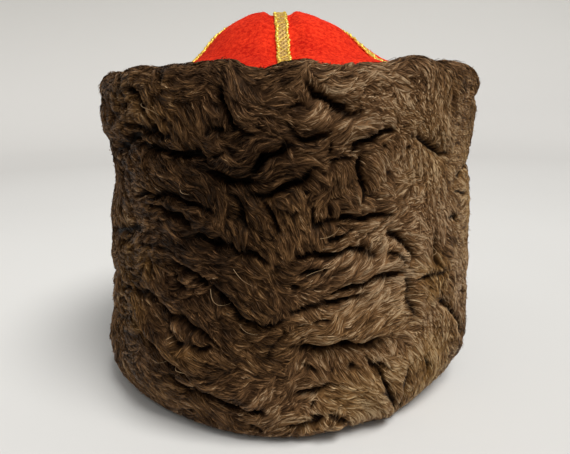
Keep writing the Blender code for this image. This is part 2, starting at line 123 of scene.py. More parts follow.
# Folds between the curls: direction and level of one end, direction and level of the other,
# bow to the left of the way from one to the other, half width, depth, and rise of the curl
# beside the fold on its left (or on its right, if negative)
FOLDS = (
    (-46, 158, -38, 149, 0, 3.6, 3.5, 1.0), (-48, 143, -28, 139, 0, 3.4, 4.5, 1.5),
    (-44, 136, -20, 131, -1, 4.0, 5.5, 2.0), (-15, 161, -12, 141, -2, 3.2, 4.5, 1.5),
    (-21, 127, -9, 121, -3, 3.8, 5.0, 1.5), (-11, 123, 0, 136, 1, 3.4, 4.5, 1.5),
    (-9, 115, 6, 125, -2, 3.4, 4.5, 1.5), (-14, 115, -11, 100, 0, 3.2, 3.5, 1.0),
    (-7, 116, -3, 100, -2, 3.2, 4.0, 1.0), (-46, 111, -20, 108, 4, 3.2, 4.5, 2.0),
    (-42, 106, -25, 100, 3, 3.4, 4.5, 1.0), (-27, 97, -7, 87, 2, 3.4, 4.5, 1.5),
    (-1, 142, 8, 141, -3, 3.4, 4.0, 1.5), (4, 157, 15, 148, -2, 3.6, 5.0, 1.5),
    (13, 133, 25, 140, 1, 3.4, 5.0, 2.0), (15, 131, 17, 111, 3, 3.2, 4.5, 1.0),
    (33, 137, 47, 126, -1, 3.8, 4.5, 2.0), (5, 101, 24, 103, 2, 3.4, 4.5, 2.0),
    (-1, 86, 20, 89, 2, 3.6, 4.5, 1.5), (24, 98, 32, 79, 2, 3.4, 3.5, 1.0),
    (8, 72, 29, 78, 0, 3.2, 5.0, 2.0), (-1, 66, 18, 68, 1, 3.2, 4.0, 1.5),
    (-35, 81, -21, 74, 2, 3.6, 4.5, 1.5), (-20, 76, -13, 65, 0, 3.8, 5.5, 1.0),
    (-14, 66, -3, 60, -3, 3.6, 5.5, 1.5), (-48, 66, -17, 49, 4, 3.2, 4.5, 2.5),
    (-52, 53, -25, 31, 1, 3.4, 5.0, 2.5), (-33, 30, -23, 23, 0, 3.6, 4.0, 1.0),
    (-24, 26, -6, 16, -1, 3.4, 5.0, 2.0), (1, 50, 24, 46, -1, 3.6, 5.5, 2.5),
    (2, 28, 12, 30, -1, 3.2, 4.0, 1.5), (1, 10, 10, 17, -1, 3.2, 4.0, 1.5),
    (9, 17, 17, 8, 2, 3.2, 3.5, 1.0), (19, 40, 32, 4, 3, 3.4, 4.0, -3.0),
    (33, 28, 34, 3, 0, 3.4, 4.0, -1.5), (30, 76, 34, 55, -2, 3.4, 4.0, 1.5),
    (41, 87, 42, 76, 0, 3.8, 5.0, 0.0), (43, 60, 60, 28, 2, 3.8, 4.0, -2.5),
)
# Lesser folds of the front, same columns
SMALL_FOLDS = (
    (-34, 164, -31, 156, 1, 1.8, 3.5, 0.5), (-49, 158, -46, 149, 0, 1.6, 2.5, 0.5),
    (-19, 142, -15, 140, 0, 2.0, 3.5, 0.6), (-13, 143, -8, 140, 0, 1.2, 2.5, 0.5),
    (-21, 135, -21, 127, 0, 1.6, 3.5, 0.5), (-19, 131, -15, 132, 0, 1.4, 2.5, 0.5),
    (7.5, 142, 8, 130, 0, 1.0, 2.0, 0.4), (8, 129, 15, 131, 0, 1.5, 3.0, 0.6),
    (0, 120, 6, 124, 0, 1.8, 3.5, 0.6), (8, 110, 10.5, 104, -1, 1.2, 2.5, 0.4),
    (9, 113, 12, 113, 0, 1.2, 2.0, 0.4), (4, 109, 5, 102, 0, 1.4, 2.5, 0.4),
    (8, 96, 15, 98, -1, 1.6, 3.5, 0.6), (10, 101, 16, 98, 0, 1.2, 2.5, 0.4),
    (22, 132.5, 24, 133, 0, 1.4, 2.5, 0.4), (29, 132, 31, 133, 0, 1.2, 1.8, 0.4),
    (0, 149, 4, 149, 2, 1.6, 2.5, 0.4), (6, 149, 14, 149, -1, 1.3, 2.5, 0.5),
    (-42, 81, -40, 74, 0, 2.0, 3.0, 0.5), (-33, 79, -28, 71, 0, 1.8, 3.5, 0.6),
    (-26, 74, -21, 74, 1, 1.8, 3.5, 0.6), (-30, 58, -25, 47, -4, 1.8, 3.0, 0.6),
    (-25, 47, -19, 48, -1, 1.6, 3.0, 0.6), (-3, 59, -6, 45, 1, 1.3, 2.5, 0.5),
    (-1, 77, 2, 76, 0, 1.8, 3.0, 0.4), (1, 81, 9, 84, 0, 1.3, 2.5, 0.5),
    (3, 82, 12, 83, -1, 1.1, 2.0, 0.5), (6, 61, 9, 60, 0, 1.1, 2.0, 0.4),
    (3, 41, 6.5, 39, 0, 1.1, 2.5, 0.5), (6, 24.5, 6, 19, 0, 1.5, 3.0, 0.3),
    (22, 38, 27, 33, -1, 1.5, 2.8, 0.6), (39, 31, 41, 17, 1, 2.0, 3.0, 0.5),
    (32, 73, 46, 71, 0, 2.0, 2.5, 0.6), (46, 156, 46, 150, 0, 1.8, 2.5, 0.5),
    (-14, 25, -12, 22, 0, 1.5, 2.5, 0.4), (-9, 11, -6, 4, 0, 1.6, 2.5, 0.4),
    (-20, 12, -18, 4, 0, 1.4, 2.0, 0.4), (14, 42, 15, 35, 0, 1.1, 2.0, 0.3),
    (19, 43, 24, 44, 1, 1.3, 2.2, 0.4), (24, 88, 29, 80, 1, 1.4, 2.5, 0.5),
    (27, 94, 31, 90, 0, 1.2, 2.0, 0.5), (-38, 90, -33, 86, 0, 1.2, 2.0, 0.5),
    (-46, 88, -40, 85, 1, 1.4, 2.0, 0.5), (-25, 95, -20, 93, 0, 1.3, 2.2, 0.5),
    (-53, 72, -46, 70, 0, 1.4, 2.2, 0.5), (50, 108, 60, 105, 0, 1.8, 2.5, 0.6),
    (46, 97, 51, 93, 0, 1.8, 2.5, 0.5),
)
# Cushions of curl of the front: direction, level, half length, half width, tilt, rise
CUSHIONS = (
    (-27, 152, 15, 9, -10, 1.6), (-8, 153, 10, 10, 0, 1.6), (-15, 130, 15, 7, 20, 2.0),
    (-5, 108, 7, 8, 0, 1.8), (10, 120, 11, 10, 0, 1.5), (-8, 69, 13, 8, -10, 3.0),
    (20, 57, 26, 8, 4, 2.0), (16, 81, 26, 4, 8, 1.5), (-26, 53, 10, 7, -20, 2.2),
    (-30, 44, 30, 6, -22, 1.8), (-40, 24, 18, 9, -10, 1.5), (12, 12, 8, 6, 0, 2.4),
    (18, 28, 14, 8, -35, 1.6), (-86, 157, 22, 14, 0, -2.2), (84, 167, 22, 10, 0, -2.5),
    (-88, 38, 34, 22, 0, -2.6), (-86, 130, 24, 26, 0, -1.6), (86, 125, 22, 42, 0, -1.2),
    (80, 45, 22, 20, 0, -1.2),
)
# Folds of the sides and back are spread by chance between these directions
SPREAD_FROM = 58.0
SPREAD_TO = 306.0
SPREAD_ROWS = 7
SPREAD_COLUMNS = 6
SPREAD_SEED = 41
LESSER_FOLDS = 170
# Spans of a fold's half length, slope, bow, half width, depth and rise
MAIN_SPANS = ((8.0, 16.0), (-8.0, 8.0), (-6.0, 6.0), (3.8, 5.0), (3.6, 5.6), (1.2, 2.6))
LESSER_SPANS = ((1.0, 5.0), (-6.0, 6.0), (-2.0, 2.0), (1.2, 2.2), (2.0, 3.8), (0.4, 1.0))
# Calmer stretch at both sides, that the outline shows
SIDE_MIDDLE = 86.0
SIDE_HALF = 24.0
SIDE_CALM = 0.5

# Lie of the hair on the front: direction, level, slope of the hair toward its tips
LIE = (
    (-57, 160, -5), (-50, 152, -15), (-45, 160, 0), (-40, 157, -15), (-35, 163, -5),
    (-29, 158, -30), (-24, 158, -12), (-25, 150, -45), (-28, 146, -12), (-34, 148, -10),
    (-21, 146, -60), (-20, 163, 5), (-18, 157, -40), (-16, 151, -85), (-17, 144, -110),
    (-12, 160, -75), (-10, 154, -65), (-7, 148, -25), (-3, 149, 25), (-1, 156, 35), (-7, 163, 10),
    (-2, 163, -20), (4, 163, -25), (10, 160, -40), (13, 155, -40), (17, 153, -30), (20, 158, -35),
    (25, 155, -70), (30, 157, -80), (36, 155, -85), (41, 160, -60), (47, 155, -30),
    (-50, 135, -5), (-45, 125, 0), (-40, 128, -35), (-35, 124, -38), (-30, 120, -36),
    (-25, 116, -30), (-20, 112, -26), (-15, 109, -24), (-30, 137, -5), (-25, 139, -10),
    (-15, 134, 34), (-21, 139, 20), (-10, 138, 30), (-5, 141, 30), (-7, 131, 50), (-15, 127, 30),
    (-4, 125, 20), (-9, 118, -45), (-12, 117, -60), (-2, 129, 22), (-50, 110, -5),
    (-42, 100, -18), (-33, 98, -14), (-23, 105, -10), (-16, 104, -22), (-10, 106, -75),
    (-5, 110, -70), (-8, 97, -35), (-2, 97, -60), (-50, 92, -8), (-38, 92, -26), (-30, 90, -20),
    (-20, 88, -26), (-11, 84, -30), (-5, 82, -28), (-52, 78, -12), (-44, 73, -24), (-38, 72, -30),
    (-30, 68, -35), (-22, 62, -40), (-16, 56, -42), (-10, 50, -46), (-7, 43, -24), (-4, 40, 10),
    (-3, 47, 60), (-9, 70, -55), (-5, 67, -80), (-13, 70, -40), (-52, 58, -12), (-45, 55, -25),
    (-38, 50, -35), (-30, 44, -28), (-22, 38, -20), (-14, 33, -12), (-6, 30, -3), (0, 29, 4),
    (-50, 38, -10), (-42, 34, -15), (-37, 25, -18), (-31, 19, -14), (-24, 15, -50),
    (-17, 12, -62), (-11, 19, 10), (-5, 20, 30), (-8, 10, 40), (-3, 12, 60), (0, 20, 80),
    (1, 45, 86), (-1, 55, 75), (0, 37, 88), (1, 8, 75), (4, 146, 60), (10, 144, 25),
    (15, 145, 20), (20, 146, 10), (26, 142, -10), (11, 137, 16), (5, 135, 36), (0, 136, 38),
    (9, 126, -72), (12, 121, -74), (7, 119, -85), (4, 129, 40), (18, 126, -60), (17, 118, -35),
    (20, 114, 30), (27, 130, -78), (32, 125, -80), (36, 118, -74), (41, 114, -68), (46, 110, -55),
    (27, 112, 55), (12, 107, 30), (20, 108, 20), (25, 105, 8), (11, 98, 12), (16, 95, 9),
    (21, 96, 2), (8, 91, 20), (15, 92, 14), (25, 92, -46), (28, 85, -55), (31, 95, -50),
    (36, 90, -70), (36, 101, -60), (5, 83, 20), (12, 80, 12), (20, 81, 10), (28, 80, 0),
    (25, 84, -10), (15, 71, 12), (22, 71, 10), (9, 69, 6), (5, 62, 8), (12, 61, 26), (20, 58, 20),
    (27, 58, 8), (30, 50, 14), (15, 53, 30), (8, 55, 45), (35, 61, -52), (38, 66, -30),
    (41, 71, -78), (38, 51, -45), (42, 46, -50), (36, 42, -56), (32, 35, -60), (5, 43, -60),
    (10, 38, -75), (15, 40, -66), (8, 33, -60), (14, 33, -28), (18, 35, -35), (22, 30, -50),
    (25, 22, -46), (28, 15, -56), (30, 8, -62), (25, 42, -60), (27, 36, -35), (12, 25, -35),
    (18, 22, -35), (20, 14, -32), (15, 18, -42), (5, 16, -62), (10, 12, -60), (5, 6, -72),
    (12, 6, -50), (35, 20, -70), (34, 10, -80), (38, 15, -75), (45, 30, -60), (50, 40, -56),
    (55, 30, -50), (48, 55, -55), (50, 80, -15), (55, 100, -10), (50, 120, -12), (55, 140, -15),
    (52, 155, -12), (60, 60, -20), (0, 70, -40), (0, 60, 50), (3, 90, 30), (0, 105, -60),
    (0, 113, -40), (5, 105, -70), (0, 170, -10), (20, 170, -20), (40, 170, -20), (-20, 170, 5),
    (-40, 170, 0), (10, 175, 10), (-10, 175, -10),
)
# Curls that turn about a point: direction, level, radius, turn
WHORLS = (
    (2, 149, 4.5, 1), (-26, 53, 5.0, -1), (-5, 106, 4.0, 1), (4, 107, 4.5, -1), (17, 133, 3.5, 1),
    (25, 37, 3.5, -1), (9, 106, 3.0, 1), (-33, 34, 3.5, 1), (10, 11, 4.5, 1), (-31, 104, 3.5, -1),
    (7, 80, 2.5, 1), (-7, 9, 3.5, -1),
)
# Short smooth nap: direction, level, half width in degrees, half height
NAP = (
    (33, 140, 11, 24), (38, 112, 12, 22), (20, 152, 7, 8), (40, 50, 7, 12), (54, 130, 10, 30),
    (66, 100, 10, 70), (-69, 90, 7, 75),
)
# Paler, more golden hair: direction, level, half width in degrees, half height, strength
GOLDEN = (
    (-47, 52, 8, 13, 1.0), (-45, 78, 6, 8, 0.8), (-48, 32, 5, 11, 0.8), (-44, 150, 5, 7, 0.7),
    (-51, 157, 6, 6, 0.6), (-40, 15, 8, 5, 0.5), (-30, 44, 9, 5, 0.4), (28, 15, 6, 12, 0.6),
    (36, 16, 5, 10, 0.8), (48, 50, 7, 20, 0.7), (37, 76, 6, 7, 0.7), (36, 112, 13, 20, 0.5),
    (36, 66, 5, 4, 0.6), (-3, 12, 9, 9, 0.4), (52, 110, 9, 40, 0.6), (64, 100, 12, 70, 0.9),
    (41, 70, 8, 14, 1.0), (26, 24, 20, 16, 0.7), (44, 26, 12, 20, 0.9), (-54, 60, 7, 60, 0.7),
    (-38, 150, 16, 14, 0.5), (-40, 118, 12, 14, 0.35), (-30, 20, 16, 10, 0.4),
    (85, 80, 18, 80, 0.5), (20, 60, 18, 14, 0.5), (40, 112, 14, 30, 0.5), (-4, 12, 16, 10, 0.5),
)
# Hair that lies long and smooth: direction, level, half width in degrees, half height
SMOOTH = (
    (-38, 48, 16, 13), (-34, 88, 14, 9), (-14, 40, 12, 8), (15, 60, 16, 9), (12, 93, 14, 5),
    (-38, 122, 10, 8), (15, 80, 14, 3), (48, 40, 10, 20), (-20, 85, 10, 5), (20, 28, 20, 16),
    (38, 34, 12, 30), (-30, 18, 20, 9), (-46, 58, 11, 26), (40, 108, 16, 32), (-4, 42, 10, 12),
    (30, 62, 14, 12),
)
# Hair painted lighter, partly its own paler tone and partly painted light, most on the right
# where the key sun falls: direction, level, half width in degrees, half height, strength
PALER_AND_LIT = (
    (40, 120, 22, 50, 1.15), (60, 90, 20, 85, 1.1), (24, 76, 20, 36, 1.2), (36, 42, 24, 28, 1.1),
    (12, 56, 14, 34, 0.9), (18, 16, 26, 20, 1.2), (46, 14, 20, 18, 1.3), (0, 10, 14, 10, 0.9),
    (20, 150, 18, 24, 1.0), (-56, 95, 8, 14, 0.6), (-47, 50, 8, 14, 0.4), (-30, 45, 14, 6, 0.3),
    (-56, 16, 10, 16, 0.5), (-70, 80, 14, 95, 0.75), (-36, 12, 16, 9, 0.45),
    (92, 90, 26, 90, 0.5), (125, 50, 26, 40, 0.4), (160, 120, 28, 40, 0.35),
    (-150, 60, 28, 50, 0.35), (-112, 120, 26, 50, 0.4), (-100, 40, 22, 40, 0.4),
    (-40, 152, 14, 12, 0.3), (-46, 100, 10, 40, 0.25),
)
# Hair painted darker, partly its own darker tone and partly painted shade among the curls, same
# columns
DARKER_AND_SHADED = (
    (-20, 118, 20, 30, 1.0), (-26, 94, 15, 15, 0.8), (-12, 78, 15, 15, 0.6),
    (-36, 118, 8, 22, 0.5),
)
# Long stray hairs: direction, level, slope, length, bend over its length
STRAYS = (
    (-40, 151.5, -12, 16.0, -6), (-14, 84, -46, 11.0, 10), (-20, 74, -60, 12.0, 30),
    (-36, 36, -6, 9.0, 12), (-29, 36, 10, 9.0, -30), (23, 61, -10, 3.0, 20), (3, 81, 24, 12.0, 0),
    (31, 92, 40, 9.0, 10), (-27, 117, -50, 4.0, 20), (38, 82, 20, 8.0, 20), (6, 97, 14, 10.0, 8),
    (-12, 60, -35, 9.0, 12),
)

# Working grid of the band's side: cells round it, lowest level, step, count
PHI_CELLS = 1200
LEVEL_LOW = -4.0
LEVEL_STEP = 0.5
LEVEL_CELLS = 378
CELL_WIDTH = 360.0 / PHI_CELLS * DEGREE_ARC
GRID = (PHI_CELLS, LEVEL_CELLS)
RELIEF_SEED = 3
LIE_SEED = 7
LIE_EVERY = 4
WAVE_SEED = 11
CHANCE_WHORLS = 46

# Floor near the cap and far from it, and the wall that it curves up into; the far floor and the
# wall are painted darker than the near floor, most of all on the left, as painted shade
FLOOR_SIDES = 72
FLOOR_DARK = (0.66, 0.66, 0.65)
FLOOR_LIGHT = (0.685, 0.685, 0.675)
FAR_LEFT = (0.495, 0.49, 0.48)
FAR_RIGHT = (0.55, 0.545, 0.535)
WALL_LEFT = (0.475, 0.47, 0.455)
WALL_RIGHT = (0.66, 0.655, 0.635)
# Suns: azimuth from the front toward +X, height, and width of the sun in degrees
KEY_SUN = (43.0, 61.0, 30.0)
KEY_POWER = 2.9
KEY_COLOUR = (1.0, 0.98, 0.95)
FRONT_SUN = (2.0, 46.0, 34.0)
FRONT_POWER = 0.46
FRONT_COLOUR = (1.0, 0.99, 0.97)
ROOM_POWER = 0.265
ROOM_COLOUR = (1.0, 0.985, 0.965, 1.0)

# Camera: place in mm, turns in degrees, focal length over the frame's width, shift upward
CAMERA_AT = (0.0, -330.0, 155.3)
CAMERA_TURN = 0.2
CAMERA_TILT = 78.0
CAMERA_ROLL = -1.3
CAMERA_LENS = 553.0 / 570.0
CAMERA_SHIFT = -0.0256

# Hair: directions in degrees, lengths in mm, shares of all the strands
SIDE_HAIR_FROM = 98
LOCKS = 8200
LOCK_SEED = 23
LOCK_SINK = 0.5
PELT_SINK = 0.35
STRAND_PIECES = 4
STRANDS_PER_PIECE = 33000
STRAND_SEED = 100
FRONT_SHARE = 0.68
FRONT_HALF = 78.0
HAIR_SHORTEST = 2.4
HAIR_LONGEST = 7.5
HAIR_HALF_WIDTH = 0.155
HAIR_BLADE = 7
# Share of the strands painted paler as highlight streaks
HIGHLIGHT_SHARE = 0.12
STRAY_SHARE = 0.012
STRAY_STEPS = 14
STRAY_RADIUS = 0.13
STRAY_PAINT = (0.97, 0.35, 0.0, 1.0)

# Cloth and braid
LINT_SEED = 5
LINT_FIBRES = 7000
LINT_HALF_WIDTH = 0.07
GORE_COLUMNS = 49
GORE_ROWS = 46
WEAVE_STATIONS = 560
WEAVE_THREADS = 15
CORD_STATIONS = 700
CORD_CORNERS = 7
CORD_SEED = 17

# Colours along a tone from dark to light
BROWN = ((0.0, (0.004, 0.0022, 0.0012)), (0.25, (0.030, 0.0148, 0.0072)),
         (0.5, (0.087, 0.0440, 0.0195)), (0.75, (0.205, 0.107, 0.047)),
         (1.0, (0.42, 0.29, 0.17)))
WARM = ((0.0, (0.007, 0.0035, 0.0014)), (0.25, (0.045, 0.0215, 0.0065)),
        (0.5, (0.135, 0.066, 0.020)), (0.75, (0.27, 0.148, 0.052)),
        (1.0, (0.50, 0.35, 0.18)))
HIDE = (0.30, 0.22, 0.15)
# Colour toward which the painted shade of the folds darkens the hair
FOLD_SHADE_COLOUR = (0.06, 0.045, 0.04)
FUR_SHEEN = (1.0, 0.72, 0.48)
RED_BROAD = ((0.35, (0.54, 0.006, 0.002)), (0.65, (0.88, 0.030, 0.008)))
RED_FINE = ((0.40, (0.42, 0.005, 0.002)), (0.60, (0.99, 0.062, 0.018)))
# Colour that multiplies the cloth as painted shade on its left side
RED_LEFT_SHADE = (0.78, 0.72, 0.72)
RED_SHEEN = (1.0, 0.20, 0.10)
TAN = ((0.0, (0.15, 0.07, 0.015)), (0.5, (0.42, 0.23, 0.055)), (1.0, (0.92, 0.64, 0.17)))
GOLD = ((0.0, (0.28, 0.12, 0.008)), (0.5, (0.86, 0.50, 0.025)), (1.0, (1.0, 0.92, 0.22)))


def curve(table, x):
    """Smooth curve through a table of two columns."""
    xs = np.array([row[0] for row in table], float)
    ys = np.array([row[1] for row in table], float)
    slopes = np.gradient(ys, xs)
    x = np.clip(np.asarray(x, float), xs[0], xs[-1])
    k = np.clip(np.searchsorted(xs, x, side="right") - 1, 0, len(xs) - 2)
    width = xs[k + 1] - xs[k]
    t = (x - xs[k]) / width
    start = (1 + 2 * t) * (1 - t) ** 2 * ys[k] + t * (1 - t) ** 2 * width * slopes[k]
    end = t * t * (3 - 2 * t) * ys[k + 1] + t * t * (t - 1) * width * slopes[k + 1]
    return start + end


def smooth_step(x):
    x = np.clip(x, 0.0, 1.0)
    return x * x * (3 - 2 * x)


def wrap(angle):
    return (np.asarray(angle, float) + 180.0) % 360.0 - 180.0


def chance_fold(chance, phi, level, spans, calm):
    """One fold about a place, its form drawn by chance."""
    half, slope, bow, width, depth, rise = (chance.uniform(*span) for span in spans)
    return (phi - half, level - slope, phi + half, level + slope,
            bow, width, calm * depth, calm * rise)


def chance_folds():
    """Folds of the sides and back: one in each cell of a grid, and lesser ones anywhere."""
    chance = random.Random(SPREAD_SEED)
    folds = []
    wide = (SPREAD_TO - SPREAD_FROM) / SPREAD_COLUMNS
    tall = (BAND_HEIGHT - 10.0) / SPREAD_ROWS
    for row in range(SPREAD_ROWS):
        for column in range(SPREAD_COLUMNS):
            phi = SPREAD_FROM + wide * (column + 0.5 * (row % 2) + chance.uniform(0.1, 0.6))
            level = 8.0 + tall * (row + chance.uniform(0.2, 0.8))
            side = abs(abs(float(wrap(phi))) - SIDE_MIDDLE) < SIDE_HALF
            calm = SIDE_CALM if side else 1.0
            folds.append(chance_fold(chance, phi, level, MAIN_SPANS, calm))
    chance = random.Random(SPREAD_SEED + 1)
    for _ in range(LESSER_FOLDS):
        phi = chance.uniform(SPREAD_FROM, SPREAD_TO)
        level = chance.uniform(6.0, 164.0)
        folds.append(chance_fold(chance, phi, level, LESSER_SPANS, 1.0))
    return folds


phi_axis = -180.0 + 360.0 / PHI_CELLS * np.arange(PHI_CELLS)
level_axis = LEVEL_LOW + LEVEL_STEP * np.arange(LEVEL_CELLS)


def offsets(phi, level, every=1):
    """Ways in mm from a place to the grid's columns and to its rows."""
    dx = wrap(phi_axis[::every] - phi) * DEGREE_ARC
    return dx[:, None], (level_axis[::every] - level)[None, :]


def carve(groove, edge, ragged, fold):
    """Adds one fold to the grids of groove depth and edge rise."""
    phi_a, level_a, phi_b, level_b, bow, half_width, depth, rise = fold
    middle = 0.5 * (phi_a + phi_b)
    start = np.array(((phi_a - middle) * DEGREE_ARC, level_a), float)
    end = np.array(((phi_b - middle) * DEGREE_ARC, level_b), float)
    along = end - start
    side = np.array((-along[1], along[0])) / np.linalg.norm(along)
    control = 0.5 * (start + end) + 2.0 * bow * side
    reach = 4.0 * half_width + abs(bow)
    span = abs(start[0]) + reach
    dx, level = offsets(middle, 0.0)
    low = min(level_a, level_b) - reach
    high = max(level_a, level_b) + reach
    window = np.ix_(np.abs(dx[:, 0]) < span, (level[0] > low) & (level[0] < high))
    x = dx[window[0][:, 0]] + ragged[0][window]
    y = level[:, window[1][0]] + ragged[1][window]
    nearest = np.full(x.shape, 1e9)
    place = np.zeros(x.shape)
    hand = np.ones(x.shape)
    steps = 6
    stops = [i / steps for i in range(steps + 1)]
    bowed = [(1 - t) ** 2 * start + 2 * t * (1 - t) * control + t ** 2 * end for t in stops]
    for t0, p0, p1 in zip(stops, bowed, bowed[1:]):
        d = p1 - p0
        t = np.clip(((x - p0[0]) * d[0] + (y - p0[1]) * d[1]) / (d @ d), 0.0, 1.0)
        gap_x = x - p0[0] - t * d[0]
        gap_y = y - p0[1] - t * d[1]
        gap = np.hypot(gap_x, gap_y)
        closer = gap < nearest
        nearest = np.where(closer, gap, nearest)
        place = np.where(closer, t0 + t / steps, place)
        hand = np.where(closer, np.sign(d[0] * gap_y - d[1] * gap_x), hand)
    taper = np.sqrt(np.clip(4 * place * (1 - place), 0.12, 1.0))
    broad = np.exp(-(nearest / half_width) ** 2)
    core = np.exp(-(nearest / max(0.40 * half_width, 0.9)) ** 4)
    cut = depth * taper * (0.45 * broad + 0.75 * core)
    groove[window] = np.maximum(groove[window], cut)
    bank = np.exp(-((nearest - 1.8 * half_width) / (1.5 * half_width)) ** 2)
    raised = hand * np.sign(rise) > 0
    lifted = np.where(raised, abs(rise) * taper * bank, 0.0)
    edge[window] = np.maximum(edge[window], lifted)


def spread(grid, sigma):
    """Blurs a grid, round the cap and over the levels."""
    turns = np.fft.fftfreq(PHI_CELLS) * 2 * np.pi
    rises = np.fft.fftfreq(LEVEL_CELLS * 2) * 2 * np.pi
    mirrored = np.concatenate((grid, grid[:, ::-1]), axis=1)
    spectrum = np.fft.fft2(mirrored)
    spectrum *= np.exp(-0.5 * (turns[:, None] * sigma) ** 2)
    spectrum *= np.exp(-0.5 * (rises[None, :] * sigma) ** 2)
    return np.fft.ifft2(spectrum).real[:, :LEVEL_CELLS]


def unit(grid):
    grid = grid - grid.mean()
    return grid / grid.std()


def pick(grid, phi, level):
    """Value of a grid between its cells."""
    i = (wrap(phi) + 180.0) * PHI_CELLS / 360.0
    j = np.clip((level - LEVEL_LOW) / LEVEL_STEP, 0.0, LEVEL_CELLS - 1.001)
    i0 = np.floor(i).astype(int)
    j0 = np.floor(j).astype(int)
    a = i - i0
    b = j - j0
    i0 %= PHI_CELLS
    i1 = (i0 + 1) % PHI_CELLS
    low = grid[i0, j0] * (1 - a) + grid[i1, j0] * a
    high = grid[i0, j0 + 1] * (1 - a) + grid[i1, j0 + 1] * a
    return low * (1 - b) + high * b


def hair_lie(calm):
    """Grid of the hair's slope: its share along the way round, and its share upward."""
    chance = random.Random(LIE_SEED)
    rows = list(LIE)
    for phi in range(66, 296, 9):
        for level in range(6, 178, 12):
            swing = math.sin(0.075 * level + 2.1 * math.sin(math.radians(phi * 3.0)))
            slope = 5.0 + 36.0 * swing + chance.uniform(-24.0, 24.0)
            if abs(phi - 180) > SIDE_HAIR_FROM:
                slope = -72.0 + chance.uniform(-14.0, 14.0)
            rows.append((phi, level, slope))
    coarse = 0.0
    for phi, level, slope in rows:
        dx, dy = offsets(phi, level, LIE_EVERY)
        turn = math.radians(slope)
        weight = 1.0 / (dx * dx + dy * dy + 6.0) ** 2
        coarse = coarse + weight * np.array((math.cos(turn), math.sin(turn)))[:, None, None]
    coarse /= np.hypot(*coarse)
    i = np.arange(PHI_CELLS) / LIE_EVERY
    i0 = np.floor(i).astype(int)
    a = (i - i0)[:, None]
    j = np.minimum(np.arange(LEVEL_CELLS) / LIE_EVERY, coarse.shape[2] - 1.001)
    j0 = np.floor(j).astype(int)
    b = j - j0
    fine = coarse[:, i0] * (1 - a) + coarse[:, (i0 + 1) % coarse.shape[1]] * a
    run, rise = fine[:, :, j0] * (1 - b) + fine[:, :, j0 + 1] * b
    whorls = list(WHORLS)
    for _ in range(CHANCE_WHORLS):
        whorls.append((chance.uniform(64, 298), chance.uniform(8, 160),
                       chance.uniform(3.0, 5.5), chance.choice((-1, 1))))
    for phi, level, radius, turn in whorls:
        dx, dy = offsets(phi, level)
        away = np.hypot(dx, dy) + 0.2
        share = np.exp(-(away / radius) ** 2)
        run = run * (1 - share) - share * turn * dy / away
        rise = rise * (1 - share) + share * turn * dx / away
    slope = np.arctan2(rise, run)
    noise = np.random.default_rng(WAVE_SEED).standard_normal(GRID)
    waves = 0.18 * unit(spread(noise, 10.0)) + 0.06 * unit(spread(noise[::-1], 4.0))
    slope += waves * (1.0 - 0.75 * calm)
    return np.cos(slope), np.sin(slope)


def comb(grid, run, rise, steps, stride):
    """Smears a grid along the lie of the hair."""
    total = grid.copy()
    for way in (stride, -stride):
        i, j = np.indices(GRID).astype(float)
        cell = tuple(np.indices(GRID))
        for _ in range(steps):
            i += way * run[cell] * LEVEL_STEP / CELL_WIDTH
            j += way * rise[cell]
            cell = (np.rint(i).astype(int) % PHI_CELLS,
                    np.clip(np.rint(j).astype(int), 0, LEVEL_CELLS - 1))
            total += grid[cell]
    return total / (2 * steps + 1)


def patch(table):
    """Grid raised within each ellipse of a table, by 1 where the rows give no strength."""
    made = np.zeros(GRID)
    for row in table:
        phi, level, wide, tall, strength = (*row, 1.0)[:5]
        u = (wrap(phi_axis - phi) / wide)[:, None]
        v = ((level_axis - level) / tall)[None, :]
        made = np.maximum(made, strength * np.exp(-(u * u + v * v) ** 1.5))
    return made


